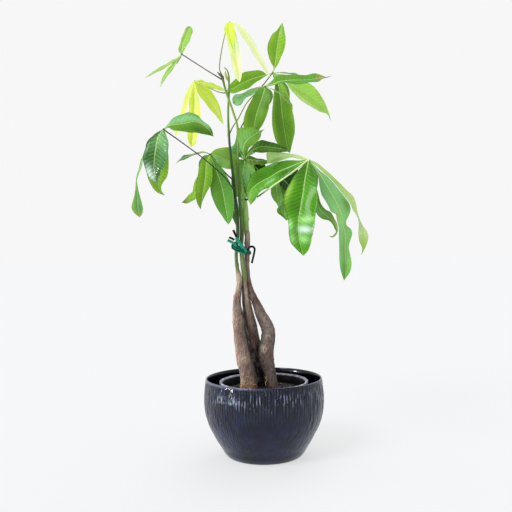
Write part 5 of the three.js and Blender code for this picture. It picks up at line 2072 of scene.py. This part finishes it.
@dataclass(frozen=True)
class Studio:
    """The pale floor, the soft lights and the camera."""

    lens: float = 45.65
    roll: float = 0.8
    floor_half: float = 60.0
    floor_glow: float = 0.62
    floor_tone: Colour = paint(135, 136, 138)
    floor_mottle: Colour = paint(134, 135, 138)
    sky: tuple[tuple[str, float], ...] = (
        ("From Min", -0.9), ("From Max", 0.5), ("To Min", 0.5), ("To Max", 0.93),
    )
    aim: Point = (0.0, 0.0, 0.35)

    def build(self) -> None:
        """Makes the whole studio."""
        bpy.context.scene.view_settings.view_transform = "Standard"
        self._floor()
        self._world()
        self._light("key_light", (-1.2, -1.2, 1.7), 24.0, 1.5)
        self._light("side_light", (-1.4, -0.5, 0.45), 7.0, 1.2)
        self._light("back_light", (0.5, 1.5, 1.9), 40.0, 0.8)
        self._camera()

    def _floor(self) -> None:
        """Makes the floor."""
        half = self.floor_half
        mesh = bpy.data.meshes.new("floor")
        corners = [(-half, -half, 0.0), (half, -half, 0.0), (half, half, 0.0), (-half, half, 0.0)]
        mesh.from_pydata(corners, [], [(0, 1, 2, 3)])
        glow = {"Emission Color": (1.0, 1.0, 1.0, 1.0), "Emission Strength": self.floor_glow}
        shader = Shader("floor", {"Roughness": 0.9, "Specular IOR Level": 0.0, **glow})
        tone = shader.mix(shader.cloud(500.0, 3.0) * 0.1, self.floor_tone, self.floor_mottle)
        shader.feed("Base Color", tone)
        mesh.materials.append(shader.material)
        floor = bpy.data.objects.new("floor", mesh)
        bpy.context.scene.collection.objects.link(floor)

    def _world(self) -> None:
        """Sets the soft light all round, dimmer on the side that the camera looks from."""
        world = bpy.data.worlds.new("studio_world")
        world.use_nodes = True
        tree = world.node_tree
        background = tree.nodes["Background"]
        background.inputs["Color"].default_value = (1.0, 1.0, 1.0, 1.0)
        where = tree.nodes.new("ShaderNodeTexCoord")
        parts = tree.nodes.new("ShaderNodeSeparateXYZ")
        grade = tree.nodes.new("ShaderNodeMapRange")
        for name, limit in self.sky:
            grade.inputs[name].default_value = limit
        tree.links.new(where.outputs["Generated"], parts.inputs["Vector"])
        tree.links.new(parts.outputs["Y"], grade.inputs["Value"])
        tree.links.new(grade.outputs["Result"], background.inputs["Strength"])
        bpy.context.scene.world = world

    def _light(self, name: str, place: Point, spread: float, power: float) -> None:
        """Adds a distant soft light that looks at the plant.

        Args:
            name: Its name.
            place: A place on the side that it shines from, in metres.
            spread: How wide it is in the sky, in degrees.
            power: Its power, in watts a square metre.
        """
        lamp = bpy.data.lights.new(name, "SUN")
        lamp.angle = math.radians(spread)
        lamp.energy = power
        made = bpy.data.objects.new(name, lamp)
        made.location = place
        made.rotation_euler = (Vector(self.aim) - Vector(place)).to_track_quat("-Z", "Y").to_euler()
        bpy.context.scene.collection.objects.link(made)

    def _camera(self) -> None:
        """Sets the camera at the photograph's viewing angle, with its slight roll."""
        data = bpy.data.cameras.new("camera")
        data.sensor_width = 36.0
        data.lens = self.lens
        camera = bpy.data.objects.new("camera", data)
        level = Matrix.Rotation(math.radians(90), 4, "X")
        roll = Matrix.Rotation(math.radians(-self.roll), 4, "Z")
        place = Matrix.Translation(Vector((SIGHT.x, SIGHT.y, SIGHT.z)) * MM)
        camera.matrix_world = place @ level @ roll
        bpy.context.scene.collection.objects.link(camera)
        bpy.context.scene.camera = camera


class MoneyTree:
    """The whole plant in its pots."""

    def build(self) -> None:
        """Builds and dresses every piece."""
        Planter().build(PlanterFinish().make())
        NurseryPot().build(PlasticFinish().make())
        Soil().build(SoilFinish().make())
        bark = {trunk.slot: BarkFinish(trunk.slot).make() for trunk in TRUNKS}
        for trunk in TRUNKS:
            trunk.build(bark[trunk.slot])
        Rootlets().build(bark["bark_light"])
        skin = StemFinish().make()
        for stem in STEMS:
            stem.build(skin)
        TwistTie().build(FilmFinish().make())
        blades = {finish.name: finish.make() for finish in self._leaf_finishes()}
        for leaf in LEAVES:
            leaf.build(blades[leaf.slot])

    def _leaf_finishes(self) -> tuple[LeafFinish, ...]:
        """The finishes of young, fresh, full-grown and old leaves.

        Returns:
            One for each slot of the leaves.
        """
        young = {"vein_share": 0.06, "roughness": 0.55, "vein_relief": 0.06, "mottle": 0.08}
        return (
            LeafFinish("leaf_lime", paint(236, 246, 170), 0.4, quilt_shade_amount=0.06, glow=0.1, **young),
            LeafFinish("leaf_fresh", paint(206, 228, 150), 0.45, quilt_shade_amount=0.08, glow=0.06, **young),
            LeafFinish("leaf_green"),
            LeafFinish("leaf_deep", vein_share=0.28, quilt_shade_amount=0.7, roughness=0.36, vein_relief=1.0),
        )


def main() -> None:
    """Builds the studio and the plant."""
    logging.basicConfig(level=logging.INFO, format="%(name)s: %(message)s")
    bpy.context.view_layer.update()
    Studio().build()
    MoneyTree().build()
    bpy.context.view_layer.update()


if __name__ == "__main__":
    main()
